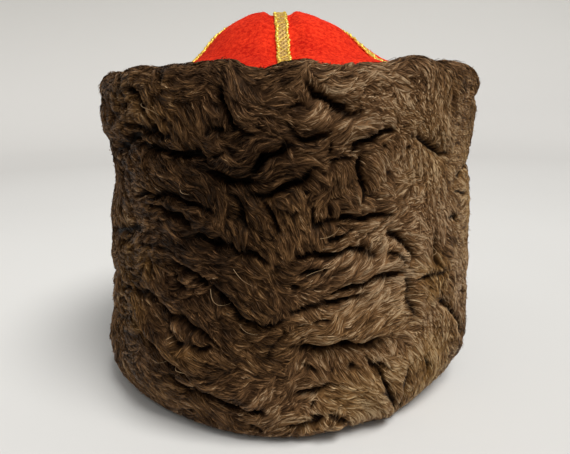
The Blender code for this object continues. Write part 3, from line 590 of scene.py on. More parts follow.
def lay_locks(grids, size, tall):
    """Curled locks laid over each other: height, lie of the hair, way left to its tips."""
    chance = np.random.default_rng(LOCK_SEED)
    half_way = 180.0 * DEGREE_ARC
    top = np.full(GRID, -1.0)
    run = grids["run"].copy()
    rise = grids["rise"].copy()
    left = np.full(GRID, 2.5)
    tint = np.zeros(GRID)
    bends = unit(spread(chance.standard_normal(GRID), 13.0))
    phi = chance.uniform(-180.0, 180.0, LOCKS)
    level = chance.uniform(-2.0, 183.0, LOCKS)
    scale = pick(size, phi, level) * chance.uniform(0.75, 1.3, LOCKS)
    calm = pick(grids["calm"], phi, level)
    turn = np.arctan2(pick(rise, phi, level), pick(run, phi, level))
    turn = turn + (0.13 - 0.08 * calm) * chance.standard_normal(LOCKS)
    bend = (0.10 * pick(bends, phi, level) + chance.normal(0.0, 0.04, LOCKS)) / scale
    bend = bend * (1.0 - 0.6 * calm)
    length = chance.uniform(6.0, 10.0, LOCKS) * scale
    half = chance.uniform(1.9, 3.3, LOCKS) * scale
    height = chance.uniform(1.1, 2.3, LOCKS) * pick(tall, phi, level)
    under = chance.uniform(0.0, 0.8, LOCKS) * pick(tall, phi, level)
    hue = chance.standard_normal(LOCKS)
    deep = pick(grids["groove"], phi, level)
    for n in range(LOCKS):
        if deep[n] > 1.6:
            continue
        c = math.cos(turn[n])
        s = math.sin(turn[n])
        start_x = phi[n] * DEGREE_ARC
        middle_x = start_x + 0.5 * length[n] * c
        middle_y = level[n] + 0.5 * length[n] * s
        reach = 0.5 * length[n] + half[n] + 0.5
        i0 = int(math.floor((middle_x - reach + half_way) / CELL_WIDTH))
        i1 = int(math.ceil((middle_x + reach + half_way) / CELL_WIDTH))
        j0 = max(0, int(math.floor((middle_y - reach - LEVEL_LOW) / LEVEL_STEP)))
        j1 = min(LEVEL_CELLS, int(math.ceil((middle_y + reach - LEVEL_LOW) / LEVEL_STEP)))
        if j1 - j0 < 3:
            continue
        i = np.arange(i0, i1)
        dx = (i * CELL_WIDTH - half_way - start_x)[:, None]
        dy = (level_axis[j0:j1] - level[n])[None, :]
        a = dx * c + dy * s
        b = dy * c - dx * s - 0.5 * bend[n] * a * a
        part = a / length[n]
        inside_part = np.clip(part, 0.0, 1.0)
        tip = np.clip((part - 0.72) / 0.28, 0.0, 1.0)
        wide = half[n] * (0.5 + 0.5 * smooth_step(inside_part * 2.0))
        wide = wide * np.sqrt(1.0 - 0.98 * tip * tip)
        t = b / wide
        inside = (part > 0.0) & (part < 1.0) & (np.abs(t) < 1.0)
        if not inside.any():
            continue
        swell = 0.35 + 0.65 * smooth_step(inside_part / 0.6)
        raised = under[n] + height[n] * swell * np.sqrt(np.clip(1.0 - t * t, 0.0, 1.0))
        window = np.ix_(i % PHI_CELLS, np.arange(j0, j1))
        better = inside & (raised > top[window])
        close = -0.35 * t * smooth_step(inside_part * 1.4)
        slope = turn[n] + np.arctan(bend[n] * a) + close
        for grid, value in ((top, raised), (run, np.cos(slope)), (rise, np.sin(slope)),
                            (left, (1.0 - part) * length[n]), (tint, hue[n])):
            grid[window] = np.where(better, value, grid[window])
    return np.maximum(top, 0.0), run, rise, left, tint


def make_grids():
    """Grids of the band's side: its relief, the lie of its hair and what colours it."""
    noise = np.random.default_rng(RELIEF_SEED)
    ragged = [0.9 * unit(spread(noise.standard_normal(GRID), 4.5)) for _ in range(2)]
    groove = np.zeros(GRID)
    edge = np.zeros(GRID)
    for fold in (*FOLDS, *SMALL_FOLDS, *chance_folds()):
        carve(groove, edge, ragged, fold)
    height = edge - groove
    phi = phi_axis[:, None]
    level = level_axis[None, :]
    for phi_c, level_c, half_length, half_wide, tilt, rise in CUSHIONS:
        x, y = offsets(phi_c, level_c)
        turn = math.radians(tilt)
        u = (x * math.cos(turn) + y * math.sin(turn)) / half_length
        v = (y * math.cos(turn) - x * math.sin(turn)) / half_wide
        height = height + rise * np.exp(-(u * u + v * v) ** 1.5)
    ripple = np.sin(np.radians(phi * 5.0) + level * 0.045 + 1.5 * np.sin(level * 0.05))
    swell = np.sin(np.radians(phi * 3.0) - level * 0.085 + 0.8)
    crimp = np.sin(np.radians(phi * 13.0)) + np.sin(np.radians(phi * 22.0 + 40.0))
    rim = smooth_step((level - 150.0) / 12.0)
    height = height + 0.7 * ripple + 0.7 * swell + 0.55 * rim * crimp
    nap = patch(NAP)
    smooth = patch(SMOOTH)
    run, rise = hair_lie(smooth)
    near_fold = np.clip(spread(groove, 7.0) / 0.9, 0.0, 1.0)
    size = 1.0 - 0.45 * nap + 0.45 * smooth
    tall = (0.24 + 0.52 * near_fold) * (1.0 - 0.75 * nap) * (1.0 - 0.80 * smooth)
    grids = {"groove": groove, "run": run, "rise": rise, "calm": smooth}
    locks, run, rise, left, tint = lay_locks(grids, size, tall)
    wisps = unit(comb(spread(noise.standard_normal(GRID), 0.4), run, rise, 7, 1.0))
    keep = 1.0 - 0.8 * np.clip(groove / 2.5, 0.0, 1.0)
    keep = keep * (1.0 - 0.35 * np.exp(-((np.abs(wrap(phi)) - 88.0) / 20.0) ** 2))
    height = height + keep * (locks - locks.mean() - LOCK_SINK) + 0.06 * wisps
    # Painted shade: how far a place lies below its blurred surroundings, in folds and in the gaps
    # between locks; it darkens the colour and also thins out the roots
    deep = np.clip((spread(height, 5.0) - height - 0.35) / 1.2, 0.0, 1.0)
    close = np.clip((spread(height, 2.2) - height - 0.22) / 0.75, 0.0, 1.0)
    shade = np.clip(deep + 0.6 * close, 0.0, 1.0)
    height = spread(height, 0.5)
    ground = np.minimum(spread(height, 1.6), height) - PELT_SINK
    golden = patch(GOLDEN) - 0.05 + 0.18 * unit(spread(noise.standard_normal(GRID), 22.0))
    # Painted light and shade, together with the hair's own paler and darker tone
    paler_and_lit = patch(PALER_AND_LIT) - 0.45 * patch(DARKER_AND_SHADED)
    return {"height": height, "ground": ground, "run": run, "rise": rise, "nap": nap,
            "left": left, "tint": tint, "wisps": wisps, "golden": golden,
            "paler_and_lit": paler_and_lit, "shade": shade}


def lean(level):
    return curve(LEAN, np.clip(level, 0.0, BAND_HEIGHT))


def outer_radius(phi, level):
    """Mean outer radius across the cap, with the hem tucked under."""
    radius = curve(PROFILE, level / BAND_HEIGHT)
    roll = HEM_ROLL + curve(HEM_LINE, wrap(phi))
    return radius - HEM_TUCK * np.clip(1.0 - level / roll, 0.0, 1.0) ** HEM_CURVE


def rim_rise(phi, level):
    """Rise of a place on the outer side that follows the line of the rim."""
    share = smooth_step((level - RIM_FOOT) / (BAND_HEIGHT - RIM_FOOT))
    return share * curve(RIM_LINE, wrap(phi))


def section(phi, q):
    """Mean radius and level at a way q up the side and over the rim, and the way outward."""
    centre = BAND_HEIGHT - RIM_ROUNDING
    arc = RIM_ROUNDING * math.pi / 2
    q = np.asarray(q, float)
    a = np.clip((q - centre) / RIM_ROUNDING, 0.0, math.pi / 2)
    b = np.clip((q - centre - arc) / INNER_ARC, 0.0, 1.0) * math.pi / 2
    rim_base = curve(PROFILE, (centre + RIM_ROUNDING * np.sin(a)) / BAND_HEIGHT)
    rim_radius = rim_base - RIM_ROUNDING * (1 - np.cos(a))
    rim_level = centre + RIM_ROUNDING * np.sin(a)
    top_radius = float(curve(PROFILE, 1.0)) - RIM_ROUNDING
    in_radius = top_radius - (top_radius - LIP_RADIUS) * np.sin(b)
    in_level = LIP_TOP + (BAND_HEIGHT - LIP_TOP) * np.cos(b)
    low = np.clip(q, 0.0, centre)
    radius = np.where(q < centre, outer_radius(phi, low), rim_radius)
    level = np.where(q < centre, low, rim_level)
    level = level + rim_rise(phi, level)
    over = q > centre + arc
    radius = np.where(over, in_radius, radius)
    level = np.where(over, in_level + np.cos(b) * rim_rise(phi, BAND_HEIGHT), level)
    tuck = 0.9 * np.clip(1.0 - q / 12.0, 0.0, 1.0)
    out = np.where(over, -np.sin(b), np.where(q < centre, np.cos(tuck), np.cos(a)))
    up = np.where(over, np.cos(b), np.where(q < centre, -np.sin(tuck), np.sin(a)))
    return radius, level, out, up


def relief_share(q):
    """Share of the relief that shows: less at the hem and inside the rim."""
    fade = smooth_step((np.asarray(q, float) - 1.0) / 9.0)
    over = BAND_HEIGHT - RIM_ROUNDING + RIM_ROUNDING * math.pi / 2
    return fade * (1.0 - smooth_step((q - over + 1.0) / (INNER_ARC + 1.0)))


def relief(grids, name, phi, q):
    """Relief of one of the grids at places of the side."""
    return pick(grids[name], phi, q) * relief_share(q)


def band_place(phi, q, height):
    """Point of the band's side raised by a height, and the way outward there."""
    radius, level, out, up = section(phi, q)
    a = np.radians(phi)
    r = radius + height * out
    z = level + height * up
    spot = np.stack((r * np.sin(a) + lean(z), -r * OVAL * np.cos(a), z), axis=-1)
    way = np.stack((out * np.sin(a), -out * np.cos(a), up), axis=-1)
    return spot, way


def mesh_piece(name, points, loops, starts, colours, surface, nodes, slot):
    """Makes a mesh from flat arrays, hangs it under the root body and hides the parts it stands
    in for.
    """
    mesh = bpy.data.meshes.new(name)
    mesh.vertices.add(len(points))
    placed = ((points - CENTRE) * MM).astype(np.float32)
    mesh.vertices.foreach_set("co", placed.ravel())
    mesh.loops.add(len(loops))
    mesh.loops.foreach_set("vertex_index", np.asarray(loops, np.int32))
    mesh.polygons.add(len(starts))
    mesh.polygons.foreach_set("loop_start", np.asarray(starts, np.int32))
    mesh.polygons.foreach_set("use_smooth", np.ones(len(starts), bool))
    if colours is not None:
        layer = mesh.color_attributes.new("paint", "FLOAT_COLOR", "POINT")
        layer.data.foreach_set("color", np.asarray(colours, np.float32).ravel())
    mesh.update(calc_edges=True)
    mesh.validate()
    mesh.materials.append(surface)
    made = bpy.data.objects.new(name, mesh)
    bpy.context.scene.collection.objects.link(made)
    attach(made, "root")
    for node in nodes:
        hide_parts(node)
    return made


def flat(quads):
    """Corners and first corners of an array of quads."""
    return quads.ravel(), np.arange(len(quads)) * 4


def grid_quads(columns, rows, closed_columns, closed_rows):
    """Corners of the quads of a grid whose points are stored column by column."""
    i = np.arange(columns if closed_columns else columns - 1)
    k = np.arange(rows if closed_rows else rows - 1)
    ii, kk = np.meshgrid(i, k, indexing="ij")
    jj = (ii + 1) % columns
    mm = (kk + 1) % rows
    quads = np.stack((ii * rows + kk, jj * rows + kk, jj * rows + mm, ii * rows + mm), axis=-1)
    return quads.reshape(-1, 4)


def tube_faces(along, size, tubes):
    """Corners and first corners of closed tubes: the sides and both ends of each."""
    loops = []
    starts = []
    for tube in range(tubes):
        first = tube * along * size
        quads = grid_quads(along, size, False, True) + first
        starts += list(len(loops) + np.arange(len(quads)) * 4)
        loops += list(quads.ravel())
        starts += [len(loops), len(loops) + size]
        loops += range(first + size - 1, first - 1, -1)
        loops += range(first + (along - 1) * size, first + along * size)
    return loops, starts


def blade_faces(count, size, corners):
    """Corners and first corners of blades: quads along each and a triangle at its tip."""
    loops = np.arange(count)[:, None] * size + np.array(corners)
    firsts = np.arange(count)[:, None] * len(corners) + np.arange(0, len(corners), 4)
    return loops.ravel(), firsts.ravel()


def unit_rows(vectors):
    return vectors / (np.linalg.norm(vectors, axis=1, keepdims=True) + 1e-9)


# Materials

def feed(tree, node, inputs):
    """Puts a constant or another node's output into inputs of a node."""
    for key, value in inputs.items():
        if isinstance(value, bpy.types.NodeSocket):
            tree.links.new(value, node.inputs[key])
        elif isinstance(value, tuple):
            node.inputs[key].default_value = (*value, 1.0)
        else:
            node.inputs[key].default_value = value


def add_node(tree, kind, inputs, **settings):
    node = tree.nodes.new("ShaderNode" + kind)
    for key, value in settings.items():
        setattr(node, key, value)
    feed(tree, node, inputs)
    return node


def new_material(name):
    """A material with its nodes, its shader and the coordinates on the piece."""
    made = bpy.data.materials.new(name)
    made.use_nodes = True
    tree = made.node_tree
    coords = add_node(tree, "TexCoord", {}).outputs["Object"]
    return made, tree, tree.nodes["Principled BSDF"], coords


def ramp(tree, tone, stops):
    node = add_node(tree, "ValToRGB", {0: tone})
    while len(node.color_ramp.elements) < len(stops):
        node.color_ramp.elements.new(0.5)
    for element, (place, colour) in zip(node.color_ramp.elements, stops):
        element.position = place
        element.color = (*colour, 1.0)
    return node.outputs[0]


def blend(tree, kind, factor, first, second):
    inputs = {0: factor, 6: first, 7: second}
    return add_node(tree, "Mix", inputs, data_type="RGBA", blend_type=kind).outputs[2]


def speckle(tree, coords, scale, detail, roughness=0.5):
    inputs = {"Vector": coords, "Scale": scale, "Detail": detail, "Roughness": roughness}
    return add_node(tree, "TexNoise", inputs).outputs["Fac"]


def carry(tree, value, span=(0.0, 1.0), onto=(0.0, 1.0)):
    """Carries a value from one span onto another."""
    inputs = {"Value": value, "From Min": span[0], "From Max": span[1],
              "To Min": onto[0], "To Max": onto[1]}
    return add_node(tree, "MapRange", inputs).outputs[0]


def bump(tree, height, distance):
    inputs = {"Strength": 0.5, "Distance": distance, "Height": height}
    return add_node(tree, "Bump", inputs).outputs[0]


def painted(tree, grain, span, shift):
    """Tone painted on a mesh, shifted by a grain, with the parts and the alpha of the paint."""
    paint = add_node(tree, "Attribute", {}, attribute_name="paint").outputs
    parts = add_node(tree, "SeparateColor", {0: paint["Color"]}).outputs
    inputs = {0: parts[0], 1: carry(tree, grain, span, (-shift, shift))}
    tone = add_node(tree, "Math", inputs, operation="ADD", use_clamp=True).outputs[0]
    return tone, parts, paint["Alpha"]


def fur_material(name, gloss):
    """Hair: red paints its tone, green its warmth, blue the painted shade of folds and gaps, and
    alpha 0 bare hide.
    """
    made, tree, shader, coords = new_material(name)
    grain = speckle(tree, coords, 900.0, 3.0)
    tone, parts, hairy = painted(tree, grain, (0.0, 1.0), 0.10)
    hair = blend(tree, "MIX", parts[1], ramp(tree, tone, BROWN), ramp(tree, tone, WARM))
    shaded = blend(tree, "MULTIPLY", parts[2], hair, FOLD_SHADE_COLOUR)
    feed(tree, shader, {"Base Color": blend(tree, "MIX", hairy, HIDE, shaded),
                        "Roughness": carry(tree, grain, onto=(0.36, 0.56)),
                        "Specular IOR Level": gloss,
                        "Specular Tint": FUR_SHEEN})
    return made


def felt_material():
    """Red milled cloth with a fine grain, painted darker toward its left side as shade."""
    made, tree, shader, coords = new_material("red milled cloth")
    grain = speckle(tree, coords, 520.0, 6.0, 0.7)
    broad = ramp(tree, speckle(tree, coords, 60.0, 4.0), RED_BROAD)
    mixed = blend(tree, "MIX", 0.55, broad, ramp(tree, grain, RED_FINE))
    x = add_node(tree, "SeparateXYZ", {0: coords}).outputs[0]
    # Painted shade over the left side of the crown, away from the key sun
    left_shade = carry(tree, x, (-0.06, 0.02), (1.0, 0.0))
    feed(tree, shader, {"Base Color": blend(tree, "MULTIPLY", left_shade, mixed, RED_LEFT_SHADE),
                        "Normal": bump(tree, grain, 0.0005),
                        "Roughness": 0.95,
                        "Specular IOR Level": 0.08,
                        "Sheen Weight": 0.05,
                        "Sheen Roughness": 0.5,
                        "Sheen Tint": RED_SHEEN})
    return made


def gilt_material(name, stops, roughness, metallic):
    """Gilt thread, whose tone is painted on the mesh, with painted shade in its hollows."""
    made, tree, shader, coords = new_material(name)
    grain = speckle(tree, coords, 1100.0, 3.0)
    tone, _, _ = painted(tree, grain, (0.3, 0.7), 0.22)
    feed(tree, shader, {"Base Color": ramp(tree, tone, stops),
                        "Normal": bump(tree, grain, 0.0003),
                        "Roughness": roughness,
                        "Metallic": metallic})
    return made


# Fur

def build_pelt(grids, surface):
    """The pelt itself: folds and locks outside, plain hide inside, and the flat rest ring."""
    front = np.arange(-75.0, 75.0, 0.5)
    rest = np.arange(75.0, 285.0, 1.0)
    directions = np.concatenate((front, rest))
    outer = np.concatenate((np.arange(0.0, 168.0, 1.2), np.linspace(168.6, 182.13, 12)))
    phi, q = np.meshgrid(directions, outer, indexing="ij")
    spot, _ = band_place(phi, q, relief(grids, "ground", phi, q))
    inner_side = (
        (LIP_RADIUS, LIP_BOTTOM),
        (INNER_RADIUS, LIP_BOTTOM - LIP_STEP),
        (INNER_RADIUS, 100.0),
        (INNER_RADIUS, 60.0),
        (INNER_RADIUS, 20.0),
        (MOUTH_RADIUS, 5.0),
        (MOUTH_RADIUS, 0.0),
    )
    a = np.radians(directions)
    rings = []
    for radius, level in inner_side:
        x = radius * np.sin(a) + float(lean(level))
        y = -radius * OVAL * np.cos(a)
        rings.append(np.stack((x, y, np.full_like(a, level)), axis=-1))
    inside = np.stack(rings, axis=1)
    points = np.concatenate((spot, inside), axis=1)
    columns, rows = points.shape[:2]
    # Pelt kept darker than the hair, as painted shade down between the strands; the wisps add
    # painted shade between clumps
    tone = 0.26 + 0.04 * pick(grids["tint"], phi, q) + 0.13 * pick(grids["wisps"], phi, q)
    # Painted light, with the hair's own paler tone
    tone = tone + 0.28 * pick(grids["paler_and_lit"], phi, q)
    warm = np.clip(pick(grids["golden"], phi, q), 0.0, 1.0)
    # Painted shade down in the folds
    fold_shade = np.clip(1.7 * pick(grids["shade"], phi, q), 0.0, 1.0)
    outside = np.stack((tone, warm, fold_shade, np.ones_like(tone)), axis=-1)
    hide = np.zeros((columns, len(inner_side), 4))
    hide[:, :1, 3] = 1.0
    colours = np.concatenate((outside, hide), axis=1).reshape(-1, 4)
    return mesh_piece("karakul_pelt", points.reshape(-1, 3),
                      *flat(grid_quads(columns, rows, True, True)),
                      colours, surface, ["fur_band"], "karakul_fur")


def hair_roots(grids, count, chance):
    """Chosen roots: more of them at the front, few of them down in the folds."""
    many = int(count * 2.2)
    front = chance.random(many) < FRONT_SHARE
    phi = np.where(front, chance.uniform(-FRONT_HALF, FRONT_HALF, many),
                   chance.uniform(FRONT_HALF, 360.0 - FRONT_HALF, many))
    q = chance.uniform(0.5, 180.0, many)
    shade = pick(grids["shade"], phi, q)
    keep = chance.random(many) > np.clip(1.5 * shade - 0.15, 0.0, 0.93)
    inside = smooth_step((q - 172.0) / 8.0)
    keep &= chance.random(many) > 0.5 * inside
    chosen = np.nonzero(keep)[0][:count]
    return phi[chosen], q[chosen]


def build_hair(grids, number, surface):
    """One share of the hair, laid along the lie of the locks in narrow tapered blades."""
    chance = np.random.default_rng(STRAND_SEED + number)
    phi, q = hair_roots(grids, STRANDS_PER_PIECE, chance)
    count = len(phi)
    left, nap, root_height, tint, paler_and_lit, golden = (
        pick(grids[key], phi, q)
        for key in ("left", "nap", "height", "tint", "paler_and_lit", "golden"))
    root_height = root_height * relief_share(q)
    length = np.clip(left * chance.uniform(0.65, 1.05, count) + 1.1,
                     HAIR_SHORTEST, HAIR_LONGEST)
    length = length * (1.0 - 0.55 * nap)
    lift = 0.08 + 0.30 * chance.random(count) ** 2.0
    stray = chance.random(count) < STRAY_SHARE
    lift = np.where(stray, lift + 0.8, lift)
    jitter = (0.05 + 0.10 * nap) * chance.standard_normal(count)
    jitter = jitter + np.where(stray, chance.normal(0, 0.4, count), 0)
    slack = chance.uniform(0.2, 0.95, count)
    spots, ways, fold_shades, wisps = [], [], [], []
    raised = (0.0, 0.7, 1.0, 0.35)
    sunk = (0.5, 0.0, 0.0, 0.0)
    steps = 3
    going = np.ones(count)
    for k in range(steps + 1):
        drape = root_height - (0.5 + 0.45 * k)
        height = np.maximum(relief(grids, "height", phi, q), drape)
        spot, way = band_place(phi, q, height + lift * raised[k] - sunk[k])
        spot[:, 2] = np.maximum(spot[:, 2], 0.4)
        spots.append(spot)
        ways.append(way)
        fold_shades.append(pick(grids["shade"], phi, q))
        wisps.append(pick(grids["wisps"], phi, q))
        if k < steps:
            run = pick(grids["run"], phi, q)
            rise = pick(grids["rise"], phi, q)
            slope = np.arctan2(rise, run) + jitter
            ahead = pick(grids["shade"], phi + run * 1.2 / DEGREE_ARC, q + rise * 1.2)
            going = np.where(ahead > 0.5, slack * going, going)
            step = length / steps * going
            phi = phi + np.cos(slope) * step / DEGREE_ARC
            q = np.clip(q + np.sin(slope) * step, 0.2, 181.5)
    half = HAIR_HALF_WIDTH * chance.uniform(0.7, 1.2, count)
    # Strands painted paler and made wider: painted highlight streaks
    highlight = chance.random(count) < HIGHLIGHT_SHARE
    half = np.where(highlight, 1.4 * half, half)
    back = np.abs(wrap(phi)) > 80.0
    half = np.where(back, 1.7 * half, half)
    roll = chance.normal(0.0, 0.45, count)
    points = np.zeros((count, HAIR_BLADE, 3))
    for k, width in enumerate((0.8, 1.0, 0.8)):
        along = unit_rows(spots[k + 1] - spots[max(k - 1, 0)])
        side = unit_rows(np.cross(along, ways[k]))
        up = np.cross(side, along)
        across = np.cos(roll)[:, None] * side + np.sin(roll)[:, None] * up
        reach = (half * width)[:, None] * across
        points[:, 2 * k] = spots[k] - reach
        points[:, 2 * k + 1] = spots[k] + reach
    points[:, 6] = spots[3]
    points[:, :, 2] = np.maximum(points[:, :, 2], 0.3)
    own = chance.random(count)
    # Tone of each strand: its own by chance and by lock, plus painted light with paler hair in
    # the patches
    tone = 0.25 + 0.27 * own + 0.04 * tint + 0.36 * paler_and_lit
    # Painted highlight on those strands
    tone = np.where(highlight, tone + 0.14, tone)
    pale = chance.random(count) < STRAY_SHARE
    tone = np.where(pale, tone + 0.22, tone)
    warm = np.clip(golden + chance.normal(0, 0.12, count), 0.0, 1.0)
    colours = np.ones((count, HAIR_BLADE, 4))
    colours[:, :, 1] = warm[:, None]
    # Tone along the blade: darker at the root, as painted shade under the hair lying over it, and
    # paler toward the tip
    root_shade_and_pale_tip = (-0.08, 0.0, 0.05, 0.08)
    for v in range(HAIR_BLADE):
        k = v // 2
        # Wisps add painted shade between clumps of hair
        colours[:, v, 0] = np.clip(tone + 0.15 * wisps[k] + root_shade_and_pale_tip[k], 0.0, 1.0)
        # Painted shade of the folds under this point of the blade
        colours[:, v, 2] = np.clip(1.3 * fold_shades[k], 0.0, 1.0)
    return mesh_piece("karakul_hair_%d" % number, points.reshape(-1, 3),
                      *blade_faces(count, HAIR_BLADE, (0, 1, 3, 2, 2, 3, 5, 4, 4, 5, 6)),
                      colours.reshape(-1, 4), surface, ["fur_band"], "karakul_fur")


def build_strays(grids, surface):
    """A few long pale hairs that stand off the curls, each a thin three-sided tube."""
    points = []
    steps = STRAY_STEPS
    for phi, q, slope, length, bend in STRAYS:
        angle = math.radians(slope)
        path, ways = [], []
        for k in range(steps + 1):
            height = float(relief(grids, "height", phi, q))
            lift = 0.6 + 1.7 * math.sin(math.pi * min(1.0, 0.15 + k / steps))
            spot, way = band_place(np.array([phi]), np.array([q]), np.array([height + lift]))
            path.append(spot[0])
            ways.append(way[0])
            turn = angle + math.radians(bend) * (k / steps) ** 2 * 3.0
            phi += math.cos(turn) * length / steps / DEGREE_ARC
            q += math.sin(turn) * length / steps
        path = np.array(path)
        for _ in range(3):
            path[1:-1] = 0.25 * path[:-2] + 0.5 * path[1:-1] + 0.25 * path[2:]
        k = np.arange(steps + 1)
        along = unit_rows(path[np.minimum(k + 1, steps)] - path[np.maximum(k - 1, 0)])
        side = unit_rows(np.cross(along, ways))
        up = np.cross(side, along)
        radius = (STRAY_RADIUS * (1.0 - 0.6 * k / steps))[:, None]
        corners = [path + radius * (math.cos(turn) * side + math.sin(turn) * up)
                   for turn in (0.0, 2 * math.pi / 3, 4 * math.pi / 3)]
        points.append(np.stack(corners, axis=1))
    points = np.array(points).reshape(-1, 3)
    tube = grid_quads(steps + 1, 3, False, True)[:, (0, 3, 2, 1)]
    firsts = np.arange(len(STRAYS))[:, None, None] * (steps + 1) * 3
    colours = np.tile(STRAY_PAINT, (len(points), 1))
    return mesh_piece("stray_hairs", points, *flat((tube + firsts).reshape(-1, 4)),
                      colours, surface, ["fur_band"], "karakul_fur")


# Crown

def arm_angle(arm, s):
    top, seam = BRAID_ARMS[arm % 4]
    return top + (seam - top) * smooth_step(np.asarray(s) * 1.2)


def arm_distance(u, v):
    """Distance from a place of the crown to the nearest arm of the braid."""
    s = np.hypot(u, v)
    nearest = np.ones_like(s)
    for arm in range(4):
        a = np.radians(arm_angle(arm, s))
        forward = u * np.sin(a) - v * np.cos(a)
        across = np.abs(u * np.cos(a) + v * np.sin(a))
        nearest = np.where(forward >= 0, np.minimum(nearest, across), nearest)
    return nearest * CROWN_RADIUS


def crown_base(u, v):
    """Outside of the crown without thickness, for a place in parts of its radius."""
    s = np.hypot(u, v)
    fade = 1.0 - smooth_step(s)
    x = float(lean(LIP_TOP)) + APEX_SHIFT_X * fade + CROWN_RADIUS * u
    y = APEX_SHIFT_Y * fade + CROWN_RADIUS * OVAL * v
    z = curve(CROWN_PROFILE, np.minimum(s, 1.0) * CROWN_RADIUS)
    reach = arm_distance(u, v) - 0.5 * BRAID_WIDTH - 1.0
    puff = CROWN_PUFF * smooth_step(reach / (PUFF_WIDTH * (0.45 + 0.55 * smooth_step(s / 0.5))))
    swell = np.hypot(u - SWELL_AT[0], v - SWELL_AT[1]) / SWELL_REACH
    puff = puff + SWELL_RISE * (1.0 - smooth_step(swell))
    rim = smooth_step((1.0 - s) / 0.25)
    return np.stack((x, y, z + puff * rim - CROWN_TILT * v * fade), axis=-1)


def crown_point(u, v, lift):
    """Place of the crown raised by a lift square to the cloth."""
    s = np.hypot(u, v)
    scale = np.where(s > 0.97, 0.97 / np.maximum(s, 1e-6), 1.0)
    a = u * scale
    b = v * scale
    step = 0.004
    du = crown_base(a + step, b) - crown_base(a - step, b)
    dv = crown_base(a, b + step) - crown_base(a, b - step)
    normal = np.cross(du, dv)
    normal /= np.linalg.norm(normal, axis=-1, keepdims=True)
    return crown_base(u, v) + np.asarray(lift)[..., None] * normal


def gore_cut(outside):
    """Width, length and area in metres of the flat sector that a gore was cut as."""
    def way(line):
        return float(np.linalg.norm(np.diff(line, axis=0), axis=1).sum()) * MM
    length = way(outside[:, outside.shape[1] // 2])
    width = 2.0 * length * math.sin(0.5 * way(outside[-1]) / length)
    first = outside[1:, 1:] - outside[:-1, :-1]
    second = outside[1:, :-1] - outside[:-1, 1:]
    area = 0.5 * float(np.linalg.norm(np.cross(first, second), axis=2).sum()) * MM * MM
    return width, length, area


def build_gore(arm, name, surface):
    """One quarter of the crown, a wall of cloth with a turned-down edge."""
    s = np.linspace(CROWN_HOLE / CROWN_RADIUS, 1.0, GORE_ROWS)[:, None]
    margin = np.degrees(0.5 * GAP / (s * CROWN_RADIUS))
    first = arm_angle(arm, s) + margin
    last = arm_angle(arm + 1, s) - margin
    last = np.where(last < first, last + 360.0, last)
    part = np.linspace(0.0, 1.0, GORE_COLUMNS)[None, :]
    a = np.radians(first + (last - first) * part)
    u = s * np.sin(a)
    v = -s * np.cos(a)
    grain = 0.10 * np.sin(u * 61.0 + 3.0 * np.sin(v * 47.0)) * np.sin(v * 53.0 + 1.3)
    quiet = smooth_step((arm_distance(u, v) - 4.0) / 4.0) * smooth_step((1.0 - s) / 0.1)
    outside = crown_point(u, v, grain * quiet)
    inside = crown_point(u, v, np.full_like(u, -CLOTH_THICKNESS))
    edge = outside[-1]
    way = edge - np.array((float(lean(LIP_TOP)), 0.0, 0.0))
    way[:, 2] = 0.0
    way /= np.linalg.norm(way, axis=1, keepdims=True)
    turned = []
    for share in (0.5, 1.0):
        low = edge + way * (LIP_RADIUS - SEAT_GAP - CROWN_RADIUS) * share
        low[:, 2] -= CROWN_TURN_DOWN * share
        turned.append(low)
    outside = np.concatenate((outside, np.array(turned)), axis=0)
    inside = np.concatenate((inside, np.array(turned) - way * CLOTH_THICKNESS), axis=0)
    count = outside[..., 0].size
    index = np.arange(count).reshape(outside.shape[:2])
    top = grid_quads(*index.shape, False, False)
    faces = [top, top[:, (0, 3, 2, 1)] + count]
    for line, outward in ((index[:, 0], True), (index[:, -1], False),
                          (index[0], False), (index[-1], True)):
        near, far = line[:-1], line[1:]
        low = (near + count, far + count)
        ring = (near, *low, far) if outward else (near, far, *low[::-1])
        faces.append(np.stack(ring, axis=-1))
    points = np.concatenate((outside.reshape(-1, 3), inside.reshape(-1, 3)))
    made = mesh_piece("cloth_" + name, points, *flat(np.concatenate(faces)),
                      None, surface, ["crown_gore_" + name], "red_felt")
    width, length, area = gore_cut(outside)
    return made


def build_lint(surface):
    """Short loose fibres that stand off the milled cloth."""
    chance = np.random.default_rng(LINT_SEED)
    count = LINT_FIBRES
    s = np.sqrt(chance.uniform(0.004, 0.98, count))
    a = chance.uniform(0.0, 2 * math.pi, count)
    u = s * np.sin(a)
    v = -s * np.cos(a)
    clear = arm_distance(u, v) > 4.2
    u = u[clear]
    v = v[clear]
    count = len(u)
    turn = chance.uniform(0.0, 2 * math.pi, count)
    length = chance.uniform(0.6, 1.6, count) / CROWN_RADIUS
    lift = chance.uniform(0.05, 0.55, count)
    start = crown_point(u, v, np.full(count, 0.02))
    middle = crown_point(u + 0.5 * length * np.cos(turn), v + 0.5 * length * np.sin(turn), lift)
    end = crown_point(u + length * np.cos(turn + 0.5), v + length * np.sin(turn + 0.5),
                      0.6 * lift)
    side = LINT_HALF_WIDTH * unit_rows(np.cross(end - start, np.array((0.0, 0.0, 1.0))))
    points = np.stack((start - side, start + side, middle - side, middle + side, end), axis=1)
    return mesh_piece("cloth_lint", points.reshape(-1, 3),
                      *blade_faces(count, 5, (0, 1, 3, 2, 2, 3, 4)), None, surface,
                      ["crown_gore_" + name for name in GORES], "red_felt")


# Braid

